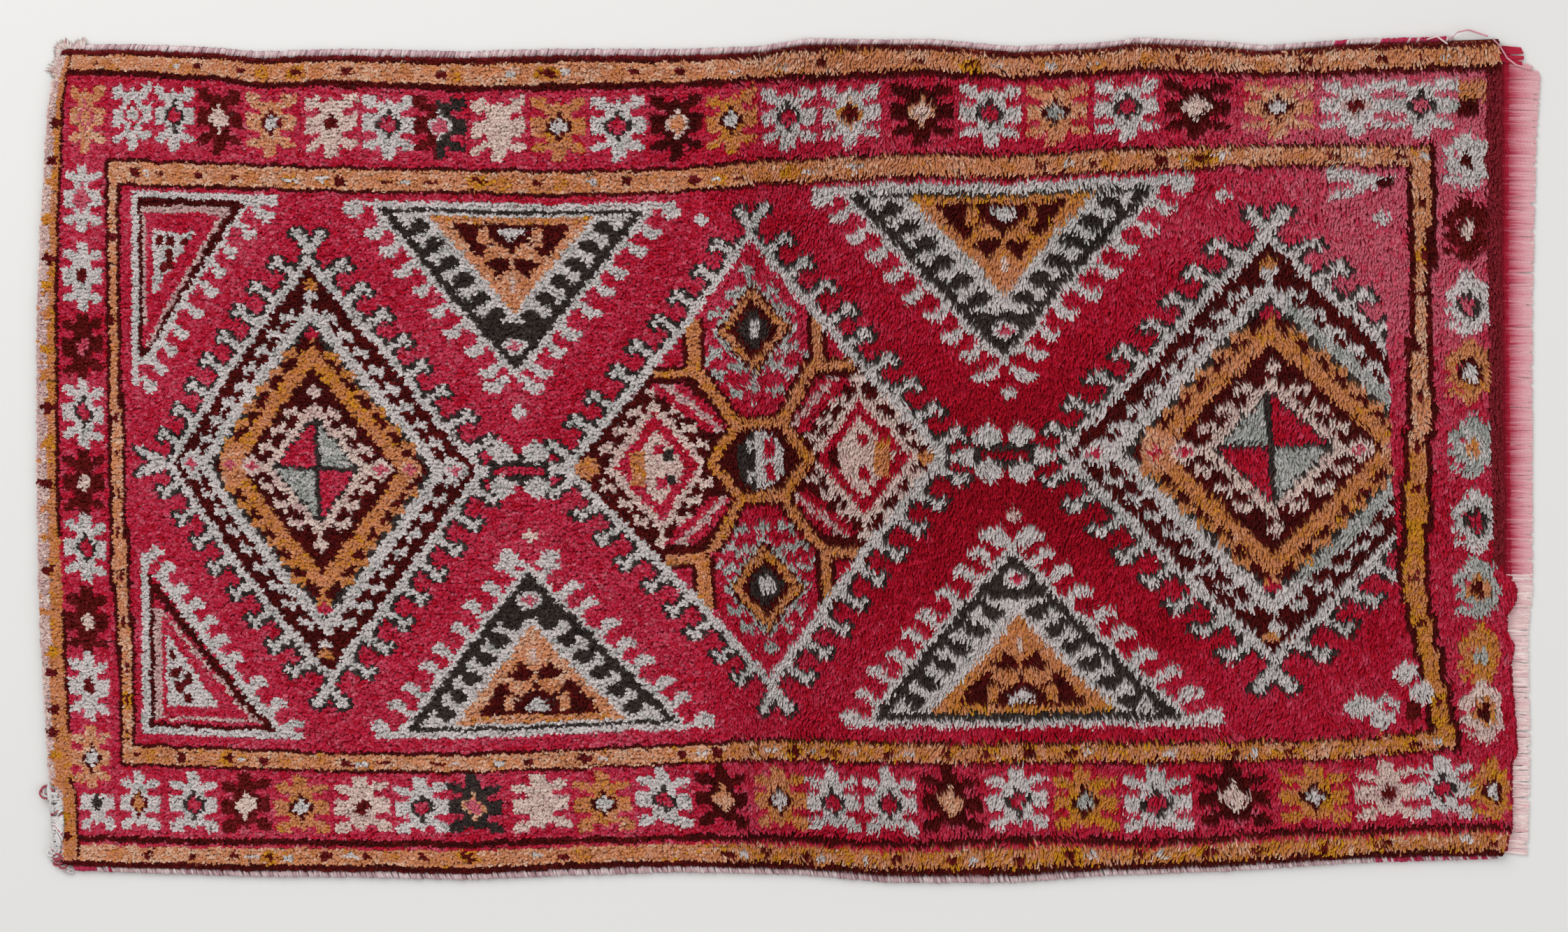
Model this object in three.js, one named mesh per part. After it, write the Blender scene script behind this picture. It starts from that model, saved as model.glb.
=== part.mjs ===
// Oriental pile rug, lying flat. Millimetres, +Z up, long side along X.
// Origin: middle of the rug's box, on the face that rests on the floor.
import * as THREE from "three";

// Thicknesses
const GROUND_THICKNESS = 3; // woven ground under the pile
const PILE_WORN = 4.5; // pile over the ground on the left half, worn short
const PILE_FULL = 6; // pile over the ground on the right half
const SHOULDER_DROP = 1.6; // the pile rounds over by this much at the rim
const RIPPLE_HEIGHT = 0.25; // unevenness of a hand-clipped pile
const RIPPLE_LENGTH = { x: 95, y: 62 };
const GAP = 0.3; // between neighbouring pieces

// The pile changes its lie along a crease across the rug
const CREASE = { x: -58, halfWidth: 24, depth: 0.8, toFull: 45 };

// Grid of the pile surface
const COLUMNS = 40;
const ROWS = 48;

// Long sides: edge of the pile and width of the overcast binding outside it, back (+Y) and front (-Y)
const LONG_SIDES = [
  { x: -546, back: 308, front: 304, backBinding: 6.0, frontBinding: 5.5 },
  { x: -494, back: 308, front: 306, backBinding: 6.0, frontBinding: 5.8 },
  { x: -430, back: 305, front: 308, backBinding: 6.8, frontBinding: 6.0 },
  { x: -399, back: 302, front: 309, backBinding: 7.2, frontBinding: 6.0 },
  { x: -336, back: 304, front: 309, backBinding: 7.4, frontBinding: 6.2 },
  { x: -241, back: 302, front: 311, backBinding: 7.4, frontBinding: 6.4 },
  { x: -178, back: 304, front: 308, backBinding: 7.4, frontBinding: 6.6 },
  { x: -83, back: 304, front: 305, backBinding: 7.0, frontBinding: 6.8 },
  { x: -20, back: 307, front: 306, backBinding: 6.0, frontBinding: 7.0 },
  { x: 12, back: 313, front: 307, backBinding: 4.6, frontBinding: 7.4 },
  { x: 75, back: 313, front: 312, backBinding: 4.2, frontBinding: 7.8 },
  { x: 106, back: 313, front: 312, backBinding: 4.8, frontBinding: 8.4 },
  { x: 170, back: 307, front: 312, backBinding: 5.4, frontBinding: 8.2 },
  { x: 233, back: 310, front: 308, backBinding: 5.0, frontBinding: 6.4 },
  { x: 264, back: 314, front: 307, backBinding: 4.6, frontBinding: 5.8 },
  { x: 327, back: 311, front: 305, backBinding: 4.6, frontBinding: 5.8 },
  { x: 359, back: 308, front: 303, backBinding: 4.8, frontBinding: 5.8 },
  { x: 422, back: 313, front: 299, backBinding: 4.4, frontBinding: 5.8 },
  { x: 485, back: 315, front: 297, backBinding: 4.2, frontBinding: 5.6 },
  { x: 540, back: 317, front: 297, backBinding: 3.0, frontBinding: 3.2 },
];

// Left end: edge of the pile. Below y = -246 the mending yarn lies against it.
const LEFT_END = [
  { y: 320, x: -543 },
  { y: 305, x: -546 },
  { y: 290, x: -552 },
  { y: 264, x: -557 },
  { y: 183, x: -562 },
  { y: 114, x: -565 },
  { y: -23, x: -565 },
  { y: -123, x: -563 },
  { y: -217, x: -557 },
  { y: -240, x: -556 },
  { y: -250, x: -549 },
  { y: -294, x: -547 },
  { y: -320, x: -545 },
];

// Right end: edge of the pile, and tips of the fringe
const RIGHT_END = [
  { y: 320, x: 534, tip: 545 },
  { y: 314, x: 534, tip: 551 },
  { y: 299, x: 536, tip: 554 },
  { y: 291, x: 536, tip: 566 },
  { y: 240, x: 536, tip: 563 },
  { y: 120, x: 536, tip: 560 },
  { y: -86, x: 538, tip: 560 },
  { y: -97, x: 546, tip: 560 },
  { y: -107, x: 546, tip: 559 },
  { y: -117, x: 539, tip: 558 },
  { y: -128, x: 539, tip: 557 },
  { y: -141, x: 545, tip: 557 },
  { y: -154, x: 542, tip: 557 },
  { y: -202, x: 546, tip: 558 },
  { y: -220, x: 547, tip: 558 },
  { y: -228, x: 543, tip: 558 },
  { y: -275, x: 543, tip: 557 },
  { y: -297, x: 538, tip: 556 },
  { y: -320, x: 536, tip: 553 },
];

// Overcast binding of the long sides: from, to, and its height over the floor
const BACK_BINDING = { from: -540, to: 500, height: 5 };
const FRONT_BINDING = { from: -538, to: 534, height: 5 };

// Fringe comb of the right end
const FRINGE = {
  web: 6.5, // solid woven strip beside the pile
  strandsPerRow: 3, // strands to each row of the sheet's grid
  rootShare: 0.76, // of the room for a strand that its root fills
  tipShare: 0.45, // width of a strand's tip against its root
  thickness: 2.6,
  uneven: 0.9, // how far neighbouring tips differ
};
const TIP_TURN = 2.4; // step of the wave that makes neighbouring tips differ, in radians

// Frayed tufts at the back left corner, as a fan of points around the corner
const FRAY = {
  x: -547.2,
  y: 309.6,
  thickness: 4,
  valley: 4.2,
  firstAngle: 92, // degrees
  lastAngle: 246,
  tufts: [
    { length: 9 },
    { length: 11.5 },
    { length: 10 },
    { length: 8 },
    { length: 7 },
    { length: 8.5 },
    { length: 11 },
  ],
};

// Mending yarn, knotted along the left end near the front corner
const MENDING = [
  { y: -244, x: -559.4, halfWidth: 2.2, height: 2.5 },
  { y: -249, x: -558.0, halfWidth: 4.2, height: 5.0 },
  { y: -255, x: -555.2, halfWidth: 4.6, height: 6.5 },
  { y: -263, x: -554.0, halfWidth: 4.6, height: 8.0 },
  { y: -273, x: -553.4, halfWidth: 4.8, height: 7.0 },
  { y: -282, x: -552.8, halfWidth: 4.2, height: 6.0 },
  { y: -288, x: -552.2, halfWidth: 2.8, height: 4.5 },
  { y: -294, x: -553.4, halfWidth: 4.8, height: 4.5 },
  { y: -300, x: -551.8, halfWidth: 4.6, height: 5.0 },
  { y: -305, x: -550.0, halfWidth: 2.6, height: 3.0 },
];

// Half of a corded section: height and half width as shares of the whole, floor to crown
const CORD_SECTION = [
  { across: -0.72, up: 0 },
  { across: -1, up: 0.38 },
  { across: -0.7, up: 0.82 },
  { across: 0, up: 1 },
  { across: 0.7, up: 0.82 },
  { across: 1, up: 0.38 },
  { across: 0.72, up: 0 },
];

const WOOL_RED = new THREE.MeshStandardMaterial({ color: 0xa01f35, roughness: 0.95, metalness: 0 });
const BINDING_PINK = new THREE.MeshStandardMaterial({ color: 0xc09c9c, roughness: 0.95, metalness: 0 });
const FRINGE_ROSE = new THREE.MeshStandardMaterial({ color: 0xc98b92, roughness: 0.95, metalness: 0 });
const FRAYED_WHITE = new THREE.MeshStandardMaterial({ color: 0xcdbcb6, roughness: 0.95, metalness: 0 });
const MENDING_WHITE = new THREE.MeshStandardMaterial({ color: 0xd2d0cf, roughness: 0.9, metalness: 0 });

// Rows of a table on both sides of a place, and how far between them it is
function bracket(table, key, at) {
  const rising = table[table.length - 1][key] > table[0][key];
  let i = 0;
  while (i < table.length - 2 && (rising ? table[i + 1][key] < at : table[i + 1][key] > at)) i += 1;
  const share = (at - table[i][key]) / (table[i + 1][key] - table[i][key]);
  return { i, share: THREE.MathUtils.clamp(share, 0, 1) };
}

// One column of a table, with straight runs between its rows
function straight(table, key, column, at) {
  const { i, share } = bracket(table, key, at);
  return THREE.MathUtils.lerp(table[i][column], table[i + 1][column], share);
}

// One column of a table, rounded at its rows
function rounded(table, key, column, at) {
  const { i, share } = bracket(table, key, at);
  const slope = (k) => {
    const a = table[Math.max(k - 1, 0)];
    const b = table[Math.min(k + 1, table.length - 1)];
    return (b[column] - a[column]) / (b[key] - a[key]);
  };
  const step = table[i + 1][key] - table[i][key];
  const s2 = share * share;
  const s3 = s2 * share;
  return (
    (2 * s3 - 3 * s2 + 1) * table[i][column] +
    (s3 - 2 * s2 + share) * step * slope(i) +
    (3 * s2 - 2 * s3) * table[i + 1][column] +
    (s3 - s2) * step * slope(i + 1)
  );
}

const backEdge = (x) => rounded(LONG_SIDES, "x", "back", x);
const frontEdge = (x) => -rounded(LONG_SIDES, "x", "front", x);
const leftEdge = (y) => straight(LEFT_END, "y", "x", y);
const rightEdge = (y) => straight(RIGHT_END, "y", "x", y);

// Height of the pile surface over the floor
function pileTop(x, y) {
  const full = THREE.MathUtils.smoothstep(x, CREASE.x, CREASE.x + CREASE.toFull);
  const pile = THREE.MathUtils.lerp(PILE_WORN, PILE_FULL, full);
  const crease = CREASE.depth * Math.exp(-(((x - CREASE.x) / CREASE.halfWidth) ** 2));
  const ripple = RIPPLE_HEIGHT * Math.sin(x / RIPPLE_LENGTH.x) * Math.sin(y / RIPPLE_LENGTH.y + 1);
  return GROUND_THICKNESS + pile - crease + ripple;
}

function solidFrom(points, triangles) {
  const geometry = new THREE.BufferGeometry();
  geometry.setAttribute("position", new THREE.Float32BufferAttribute(points.flat(), 3));
  geometry.setIndex(triangles.flat());
  geometry.computeVertexNormals();
  return geometry;
}

// Place on the sheet: u runs from the left end to the right, v from the front side to the back
function sheetPoint(u, v) {
  const roughX = THREE.MathUtils.lerp(LEFT_END[1].x, RIGHT_END[1].x, u);
  const roughY = THREE.MathUtils.lerp(frontEdge(roughX), backEdge(roughX), v);
  const x = THREE.MathUtils.lerp(leftEdge(roughY), rightEdge(roughY), u);
  return { x, y: THREE.MathUtils.lerp(frontEdge(x), backEdge(x), v) };
}

// Ground and pile as one flat sheet: uneven top, upright rim, flat underside
function rugBody() {
  const points = [];
  const triangles = [];
  const at = (column, row) => row * (COLUMNS + 1) + column;
  for (let row = 0; row <= ROWS; row += 1) {
    for (let column = 0; column <= COLUMNS; column += 1) {
      const { x, y } = sheetPoint(column / COLUMNS, row / ROWS);
      const onRim = row === 0 || row === ROWS || column === 0 || column === COLUMNS;
      points.push([x, y, pileTop(x, y) - (onRim ? SHOULDER_DROP : 0)]);
    }
  }
  for (let row = 0; row < ROWS; row += 1) {
    for (let column = 0; column < COLUMNS; column += 1) {
      const a = at(column, row);
      const b = at(column + 1, row);
      const c = at(column + 1, row + 1);
      const d = at(column, row + 1);
      triangles.push([a, b, c], [a, c, d]);
    }
  }
  const rim = [];
  for (let column = 0; column < COLUMNS; column += 1) rim.push(at(column, 0));
  for (let row = 0; row < ROWS; row += 1) rim.push(at(COLUMNS, row));
  for (let column = COLUMNS; column > 0; column -= 1) rim.push(at(column, ROWS));
  for (let row = ROWS; row > 0; row -= 1) rim.push(at(0, row));
  const floor = points.length;
  rim.forEach((k) => points.push([points[k][0], points[k][1], 0]));
  rim.forEach((k, i) => {
    const next = (i + 1) % rim.length;
    triangles.push([k, floor + i, floor + next], [k, floor + next, rim[next]]);
  });
  // Underside: long strips between the two sides, and at each end two fans out to the end's points
  const under = (column, row) => floor + rim.indexOf(at(column, row));
  for (let column = 1; column < COLUMNS - 1; column += 1) {
    const front = under(column, 0);
    const back = under(column + 1, ROWS);
    triangles.push([front, back, under(column + 1, 0)], [front, under(column, ROWS), back]);
  }
  const half = ROWS / 2;
  [
    { end: 0, next: 1, turn: (a, b, c) => [a, b, c] },
    { end: COLUMNS, next: COLUMNS - 1, turn: (a, b, c) => [a, c, b] },
  ].forEach(({ end, next, turn }) => {
    for (let row = 0; row < ROWS; row += 1) {
      const hub = under(next, row < half ? 0 : ROWS);
      triangles.push(turn(hub, under(end, row), under(end, row + 1)));
    }
    triangles.push(turn(under(next, 0), under(end, half), under(next, ROWS)));
  });
  return solidFrom(points, triangles);
}

// Corded solid through stations on the floor, each with a middle, a level direction across it, and its size
function cord(stations) {
  const points = [];
  const triangles = [];
  const sides = CORD_SECTION.length;
  stations.forEach(({ x, y, across, halfWidth, height }) => {
    CORD_SECTION.forEach((corner) => {
      const out = corner.across * halfWidth;
      points.push([x + across.x * out, y + across.y * out, corner.up * height]);
    });
  });
  for (let i = 0; i < stations.length - 1; i += 1) {
    for (let k = 0; k < sides; k += 1) {
      const a = i * sides + k;
      const b = i * sides + ((k + 1) % sides);
      triangles.push([a, b, b + sides], [a, b + sides, a + sides]);
    }
  }
  const last = (stations.length - 1) * sides;
  for (let k = 1; k < sides - 1; k += 1) {
    triangles.push([0, k + 1, k], [last, last + k, last + k + 1]);
  }
  return solidFrom(points, triangles);
}

// Overcast binding along one long side, following the sheet's rim on its outer side
function binding({ from, to, height }, v, column, outward) {
  const rim = [];
  for (let k = 0; k <= COLUMNS; k += 1) rim.push(sheetPoint(k / COLUMNS, v));
  const places = rim.map(({ x }) => x).filter((x) => x > from && x < to);
  const stations = [from, ...places, to].map((x) => {
    const halfWidth = rounded(LONG_SIDES, "x", column, x) / 2;
    const y = straight(rim, "x", "y", x) + outward * (GAP + halfWidth);
    return { x, y, across: { x: 0, y: -1 }, halfWidth, height };
  });
  return cord(stations);
}

// Level slab on the floor over flat triangles that share their corners and run counterclockwise
function slab(corners, faces, thickness) {
  const points = corners.flatMap(({ x, y }) => [[x, y, 0], [x, y, thickness]]);
  const triangles = [];
  const edges = new Set();
  faces.forEach(([a, b, c]) => {
    triangles.push([2 * a + 1, 2 * b + 1, 2 * c + 1], [2 * a, 2 * c, 2 * b]);
    [[a, b], [b, c], [c, a]].forEach(([from, to]) => edges.add(`${from} ${to}`));
  });
  edges.forEach((edge) => {
    const [from, to] = edge.split(" ").map(Number);
    if (edges.has(`${to} ${from}`)) return;
    triangles.push([2 * from, 2 * to, 2 * to + 1], [2 * from, 2 * to + 1, 2 * from + 1]);
  });
  return solidFrom(points, triangles);
}

// Fringe of the right end as one comb: a woven strip against the pile, and its strands
function fringeComb() {
  const rim = [];
  for (let row = 0; row <= ROWS; row += 1) rim.push(sheetPoint(1, row / ROWS));
  const corners = [];
  const faces = [];
  const add = (x, y) => corners.push({ x, y }) - 1;
  // Two corners of the strip at a place on the rim: one beside the pile, one at the strands' roots
  const level = (row, share) => {
    const from = rim[row];
    const to = rim[Math.min(row + 1, ROWS)];
    const x = THREE.MathUtils.lerp(from.x, to.x, share) + GAP;
    const y = THREE.MathUtils.lerp(from.y, to.y, share);
    return { inner: add(x, y), root: add(x + FRINGE.web, y), y };
  };
  const join = (front, back) => {
    faces.push([front.inner, front.root, back.root], [front.inner, back.root, back.inner]);
  };
  let front = level(0, 0);
  for (let strand = 0; strand < ROWS * FRINGE.strandsPerRow; strand += 1) {
    const row = Math.floor(strand / FRINGE.strandsPerRow);
    const first = (strand % FRINGE.strandsPerRow) / FRINGE.strandsPerRow;
    const back = level(row, first + FRINGE.rootShare / FRINGE.strandsPerRow);
    join(front, back);
    const y = (front.y + back.y) / 2;
    const half = (FRINGE.tipShare * (back.y - front.y)) / 2;
    const tip = straight(RIGHT_END, "y", "tip", y) - FRINGE.uneven * (1 + Math.sin(strand * TIP_TURN));
    const frontTip = add(tip, y - half);
    const backTip = add(tip, y + half);
    faces.push([front.root, frontTip, backTip], [front.root, backTip, back.root]);
    const nextRow = Math.floor((strand + 1) / FRINGE.strandsPerRow);
    const next = ((strand + 1) % FRINGE.strandsPerRow) / FRINGE.strandsPerRow;
    front = level(nextRow, next);
    join(back, front);
  }
  return slab(corners, faces, FRINGE.thickness);
}

// Frayed corner as one fan of pointed tufts, open towards the rug
function cornerFray() {
  const step = (FRAY.lastAngle - FRAY.firstAngle) / FRAY.tufts.length;
  const reach = (length, degrees) => {
    const angle = THREE.MathUtils.degToRad(degrees);
    return { x: FRAY.x + length * Math.cos(angle), y: FRAY.y + length * Math.sin(angle) };
  };
  const corners = [{ x: FRAY.x, y: FRAY.y }, reach(FRAY.valley, FRAY.firstAngle)];
  const faces = [];
  FRAY.tufts.forEach(({ length }, k) => {
    const valley = corners.length - 1;
    corners.push(reach(length, FRAY.firstAngle + (k + 0.5) * step));
    corners.push(reach(FRAY.valley, FRAY.firstAngle + (k + 1) * step));
    faces.push([0, valley, valley + 2], [valley, valley + 1, valley + 2]);
  });
  return slab(corners, faces, FRAY.thickness);
}

// Knotted mending yarn as one lumpy cord beside the left end
function mendingYarn() {
  const stations = MENDING.map((station) => ({ ...station, across: { x: -1, y: 0 } }));
  return cord(stations);
}

function piece(name, geometry, material) {
  const mesh = new THREE.Mesh(geometry, material);
  mesh.name = name;
  return mesh;
}

const rug = new THREE.Group();
rug.add(piece("rug_body", rugBody(), WOOL_RED));
rug.add(piece("binding_back", binding(BACK_BINDING, 1, "backBinding", 1), BINDING_PINK));
rug.add(piece("binding_front", binding(FRONT_BINDING, 0, "frontBinding", -1), BINDING_PINK));
rug.add(piece("fringe_comb", fringeComb(), FRINGE_ROSE));
rug.add(piece("corner_fray", cornerFray(), FRAYED_WHITE));
rug.add(piece("mending_yarn", mendingYarn(), MENDING_WHITE));

// The middle of the box comes over the origin
const box = new THREE.Box3().setFromObject(rug);
const middle = box.getCenter(new THREE.Vector3());
rug.position.set(-middle.x, -middle.y, 0);

export default rug;
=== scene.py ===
"""An oriental pile rug, knot by knot, in the layout of a Blender add-on. Run as a script."""
import math

import bmesh
import bpy
import numpy as np
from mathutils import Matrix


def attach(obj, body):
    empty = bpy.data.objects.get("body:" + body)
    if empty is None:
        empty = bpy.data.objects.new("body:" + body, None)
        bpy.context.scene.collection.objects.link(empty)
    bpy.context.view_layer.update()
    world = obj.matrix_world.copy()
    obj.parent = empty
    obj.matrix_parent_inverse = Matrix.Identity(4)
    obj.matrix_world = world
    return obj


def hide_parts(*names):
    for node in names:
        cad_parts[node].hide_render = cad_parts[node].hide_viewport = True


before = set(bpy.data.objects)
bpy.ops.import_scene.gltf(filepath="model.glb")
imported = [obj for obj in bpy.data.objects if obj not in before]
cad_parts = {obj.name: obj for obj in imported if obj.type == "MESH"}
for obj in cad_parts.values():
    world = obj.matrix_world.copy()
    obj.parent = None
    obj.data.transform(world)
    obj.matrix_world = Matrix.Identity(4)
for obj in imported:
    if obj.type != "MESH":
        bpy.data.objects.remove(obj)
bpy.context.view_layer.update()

bl_info = {
    "name": "Oriental rug",
    "version": (1, 0, 0),
    "blender": (4, 5, 0),
    "location": "3D View > Sidebar > Rug",
    "description": "Plants the pile, bindings and fringe of a hand-knotted rug",
    "category": "Object",
}

MM = 0.001
SEED = 41  # of everything that varies from knot to knot

# Knots of the rug: rows run across it, counted from the left end; knots run from back to front
ROWS = 292
KNOTS = 237


def table(text):
    """The rows of a small table as dictionaries. Its first line names the columns."""
    head, *rows = [line.split() for line in text.strip().splitlines()]
    return [
        {name: float(cell) if cell[-1].isdigit() else cell for name, cell in zip(head, row)}
        for row in rows
    ]


def column(rows, name):
    return np.array([row[name] for row in rows])


def eased(share):
    """A share from 0 to 1 that starts and ends gently."""
    return share * share * (3 - 2 * share)


# Plan of the rug, in millimetres

# Where a row of knots meets the back and front of the field; between them it bows
ROW_LINES = table("""
row    back   front
14.5   -526   -517
28.5   -487   -483
39.5   -459   -446
51.5   -425   -408
63.5   -386   -366
75.5   -344   -320
87.5   -300   -275
99.5   -259   -232
111.5  -214   -186
123.5  -169   -138
135.5  -124   -92
147.5  -80    -48
159.5  -40    -10
171.5  3      34
183.5  50     76
195.5  100    122
207.5  152    173
219.5  200    222
231.5  255    277
243.5  306    336
255.5  363    392
267.5  422    448
279.5  475    492
287.5  510    528
""")
ROW_LINES_FROM, ROW_LINES_TO = 257, -262  # y of the back and front of that table
ROW_BOW = 1.6  # power of the bow
BOW_BEYOND = 0.3  # its slope behind the field
PLAN_ROUNDS = 4  # until a knot's place along and across the rug agree

# Lines along the rug: pile edges and the stripes' sides, as y at a place along x
LONG_LINES = table("""
x     back  guard  field  far    border  front
-546  308   292    209    -213   -284    -304
-494  308   291    208    -213   -285    -306
-430  305   287    206    -215   -287    -308
-399  302   282    205    -217   -287    -309
-336  304   283    203    -219   -287    -309
-241  302   279    202    -220   -289    -311
-178  304   280    200    -217   -286    -308
-83   304   282    202    -213   -284    -305
-20   307   286    209    -209   -283    -306
12    313   287    210    -209   -285    -307
75    313   290    214    -211   -288    -312
106   313   291    214    -211   -288    -312
170   307   288    214    -211   -284    -312
233   310   291    218    -210   -285    -308
264   314   294    219    -211   -287    -307
327   311   291    222    -210   -283    -305
359   308   290    223    -210   -280    -303
422   313   292    223    -209   -278    -299
485   315   294    222    -201   -275    -297
540   317   295    222    -198   -275    -297
""")
LINE_KNOTS = {"back": 0, "guard": 9, "field": 40, "far": 198, "border": 228, "front": 237}

# Left end of the pile
LEFT_END = table("""
y     x
305   -546
290   -552
264   -557
183   -562
114   -565
-23   -565
-123  -563
-217  -557
-240  -556
-250  -549
-294  -547
-320  -545
""")

# Right end: edge of the pile, and tips of the fringe
RIGHT_END = table("""
y     x    tip
314   534  551
299   536  554
291   536  566
240   536  563
120   536  560
-86   538  560
-97   546  560
-107  546  559
-117  539  558
-128  539  557
-141  545  557
-154  542  557
-202  546  558
-220  547  558
-228  543  558
-275  543  557
-297  538  556
""")


def along(rows, key, name, at):
    """One column of a table at places between its rows."""
    places, values = column(rows, key), column(rows, name)
    order = np.argsort(places)
    return np.interp(at, places[order], values[order])


def plan(row, knot):
    """Places of knots in the plan, in millimetres, from arrays of rows and knots."""
    x = along(ROW_LINES, "row", "back", row)
    names = list(LINE_KNOTS)
    for _ in range(PLAN_ROUNDS):
        y = np.zeros_like(x)
        for here, there in zip(names[:-1], names[1:]):
            first, last = LINE_KNOTS[here], LINE_KNOTS[there]
            near = (knot >= first) & (knot <= last)
            start, end = (along(LONG_LINES, "x", name, x) for name in (here, there))
            y = np.where(near, start + (end - start) * (knot - first) / (last - first), y)
        depth = (y - ROW_LINES_FROM) / (ROW_LINES_TO - ROW_LINES_FROM)
        bow = np.where(depth > 0, np.abs(depth) ** ROW_BOW, BOW_BEYOND * depth)
        ends = (ROW_LINES[0], ROW_LINES[-1])
        first, last = (line["back"] + (line["front"] - line["back"]) * bow for line in ends)
        back, front = (along(ROW_LINES, "row", name, row) for name in ("back", "front"))
        x = back + (front - back) * bow
        left = along(LEFT_END, "y", "x", y)
        right = along(RIGHT_END, "y", "x", y)
        before, after = ROW_LINES[0]["row"], ROW_LINES[-1]["row"]
        x = np.where(row < before, left + (first - left) * row / before, x)
        x = np.where(row > after, last + (right - last) * (row - after) / (ROWS - after), x)
    return x, y


# Yarns of the pile, and the letters that stand for them in the charts below
CRIMSON, IVORY, PINK, APRICOT, BROWN, CHARCOAL = range(6)
YARN_NAMES = ("crimson", "ivory", "pink", "apricot", "brown", "charcoal")
LETTERS = {
    # letter: yarn, and its shade from deep (0) to pale (1)
    "r": (CRIMSON, 0.45),
    "m": (CRIMSON, 0.85),
    # k is painted shade: dark brown for the crimson knots of the right end's shaded rim
    "k": (BROWN, 1.0),
    "v": (PINK, 0.3),
    "w": (IVORY, 0.6),
    "g": (IVORY, 0.2),
    "p": (PINK, 0.5),
    "q": (PINK, 0.15),
    "o": (APRICOT, 0.4),
    "e": (APRICOT, 0.2),
    "a": (APRICOT, 0.75),
    "y": (APRICOT, 0.05),
    "b": (BROWN, 0.5),
    "d": (BROWN, 0.15),
    "c": (CHARCOAL, 0.5),
}

# Motifs, one string for each line of knots: w is the motif's wool, c its outline, h its heart
ROSETTE = (
    "www.....www",
    "www..w..www",
    "wwwwwwwwwww",
    ".wwwwwwwww.",
    "...wwcww...",
    "...wwcww...",
    "wwwwchcwwww",
    "wwwchhhcwww",
    "wwwchhhcwww",
    "wwwchhhcwww",
    "wwwwchcwwww",
    "...wwcww...",
    "...wwcww...",
    ".wwwwwwwww.",
    "wwwwwwwwwww",
    "www.www.www",
    "....www....",
    "....www....",
    "....ww.....",
)
# On the left end they have a stem at both tips
END_ROSETTE = ("....www....", "....www....", "www.www.www") + ROSETTE[2:18]
FLOWER = (
    "...ww...",
    "...ww...",
    "..wwww..",
    "..wwwww.",
    ".wwwwww.",
    "wwwwcww.",
    "wwwccww.",
    "ww.chcww",
    ".wchhcww",
    ".wchhcww",
    "wwchhcw.",
    "wwwchcw.",
    ".wwwcww.",
    "..wwwwww",
    "ww.wwwww",
    "wwwwww..",
    "..wwww..",
    "...ww...",
)
HOOK = (
    ".cwc...",
    ".cwwc..",
    "cwwwcc.",
    "cwcwwwc",
    ".c.cwww",
    "....cww",
)
EARS = (
    ".cc...cc.",
    "cwwc.cwwc",
    "cwwc.cwwc",
    "cwwwcwwwc",
    ".cwwcwwc.",
    "..wwwww..",
    "..cwwwc..",
    "...www...",
)
FORK = (
    "cwwc......",
    "cwwwwc....",
    ".cwwwwwc..",
    "..ccwwwww.",
    "....cwwwww",
    "..ccwwwww.",
    ".cwwwwwc..",
    "cwwwwc....",
    "cwwc......",
)
TOOTH = (
    "..w.",
    "www.",
    "wwww",
    "w...",
)
DROP = (
    "...ww",
    "..www",
    "wwww.",
    "wwww.",
    ".ww..",
)
STAR = (
    "..w..",
    ".www.",
    "wwhww",
    "whhhw",
    "wwhww",
    ".www.",
    "..w..",
)
SPARK = (
    ".w.",
    "www",
    "www",
    ".w.",
)
MARK = (
    "..cc.",
    ".cccc",
    ".cccc",
    "cccc.",
    "cc...",
)
# Half of a triangle's heart, from its middle outwards and from its base to its tip
HEART = (
    "aaooaaooaoaaooaoa",
    "aoaaoaaoaaoaaoaa",
    "bbbbbbbbbbbbaaa",
    "wwwbbaabbbbbaaa",
    "wwwbbaabbbbaaa",
    "wwbbbaabbbbaaa",
    "wbbbaaabbbaaa",
    "bbbabaabbbaa",
    "bbaaabbbbaaa",
    "baaaaabbbaa",
    "baaaaabbaa",
    "aaaaaaaaaa",
    "abbbbaaaa",
    "abbbbbaaa",
    "abbbbaaa",
    "aabbaaa",
    "aaabaaa",
    "paaaaa",
    "paaaa",
    "paaaa",
    "paaa",
    "aaaa",
    "aaa",
    "aaa",
    "aa",
    "aa",
    "a",
)
BITE = (
    "ww",
    "w.",
    "ww",
)
MOTIFS = {
    # name: its lines, and the cell that stands on its place, across and down
    "rosette": (ROSETTE, (5.3, 8.5)),
    "front_rosette": (ROSETTE, (5.3, 8)),
    "end_rosette": (END_ROSETTE, (5.3, 9)),
    "cut_rosette": (ROSETTE[:11], (5.3, 8)),
    "flower": (FLOWER, (3, 8.5)),
    "hook": (HOOK, (5.5, 4.5)),
    "ears": (EARS, (4, 7)),
    "fork": (FORK, (8, 4)),
    "corner_fork": (FORK, (5, 5)),
    "tooth": (TOOTH, (3, 2)),
    "drop": (DROP, (4, 0.5)),
    "tip_drop": (DROP, (3, 1.5)),
    "corner_drop": (DROP, (1, 2.5)),
    "star": (STAR, (2, 3)),
    "small_star": (STAR[1:6], (2, 2)),
    "spark": (SPARK, (1, 1.5)),
    "small_spark": (SPARK[:3], (1, 1)),
    "mark": (MARK, (2.5, 1.5)),
    "heart": (HEART, (0, 0)),
    "bite": (BITE, (0, 1)),
}

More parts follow.
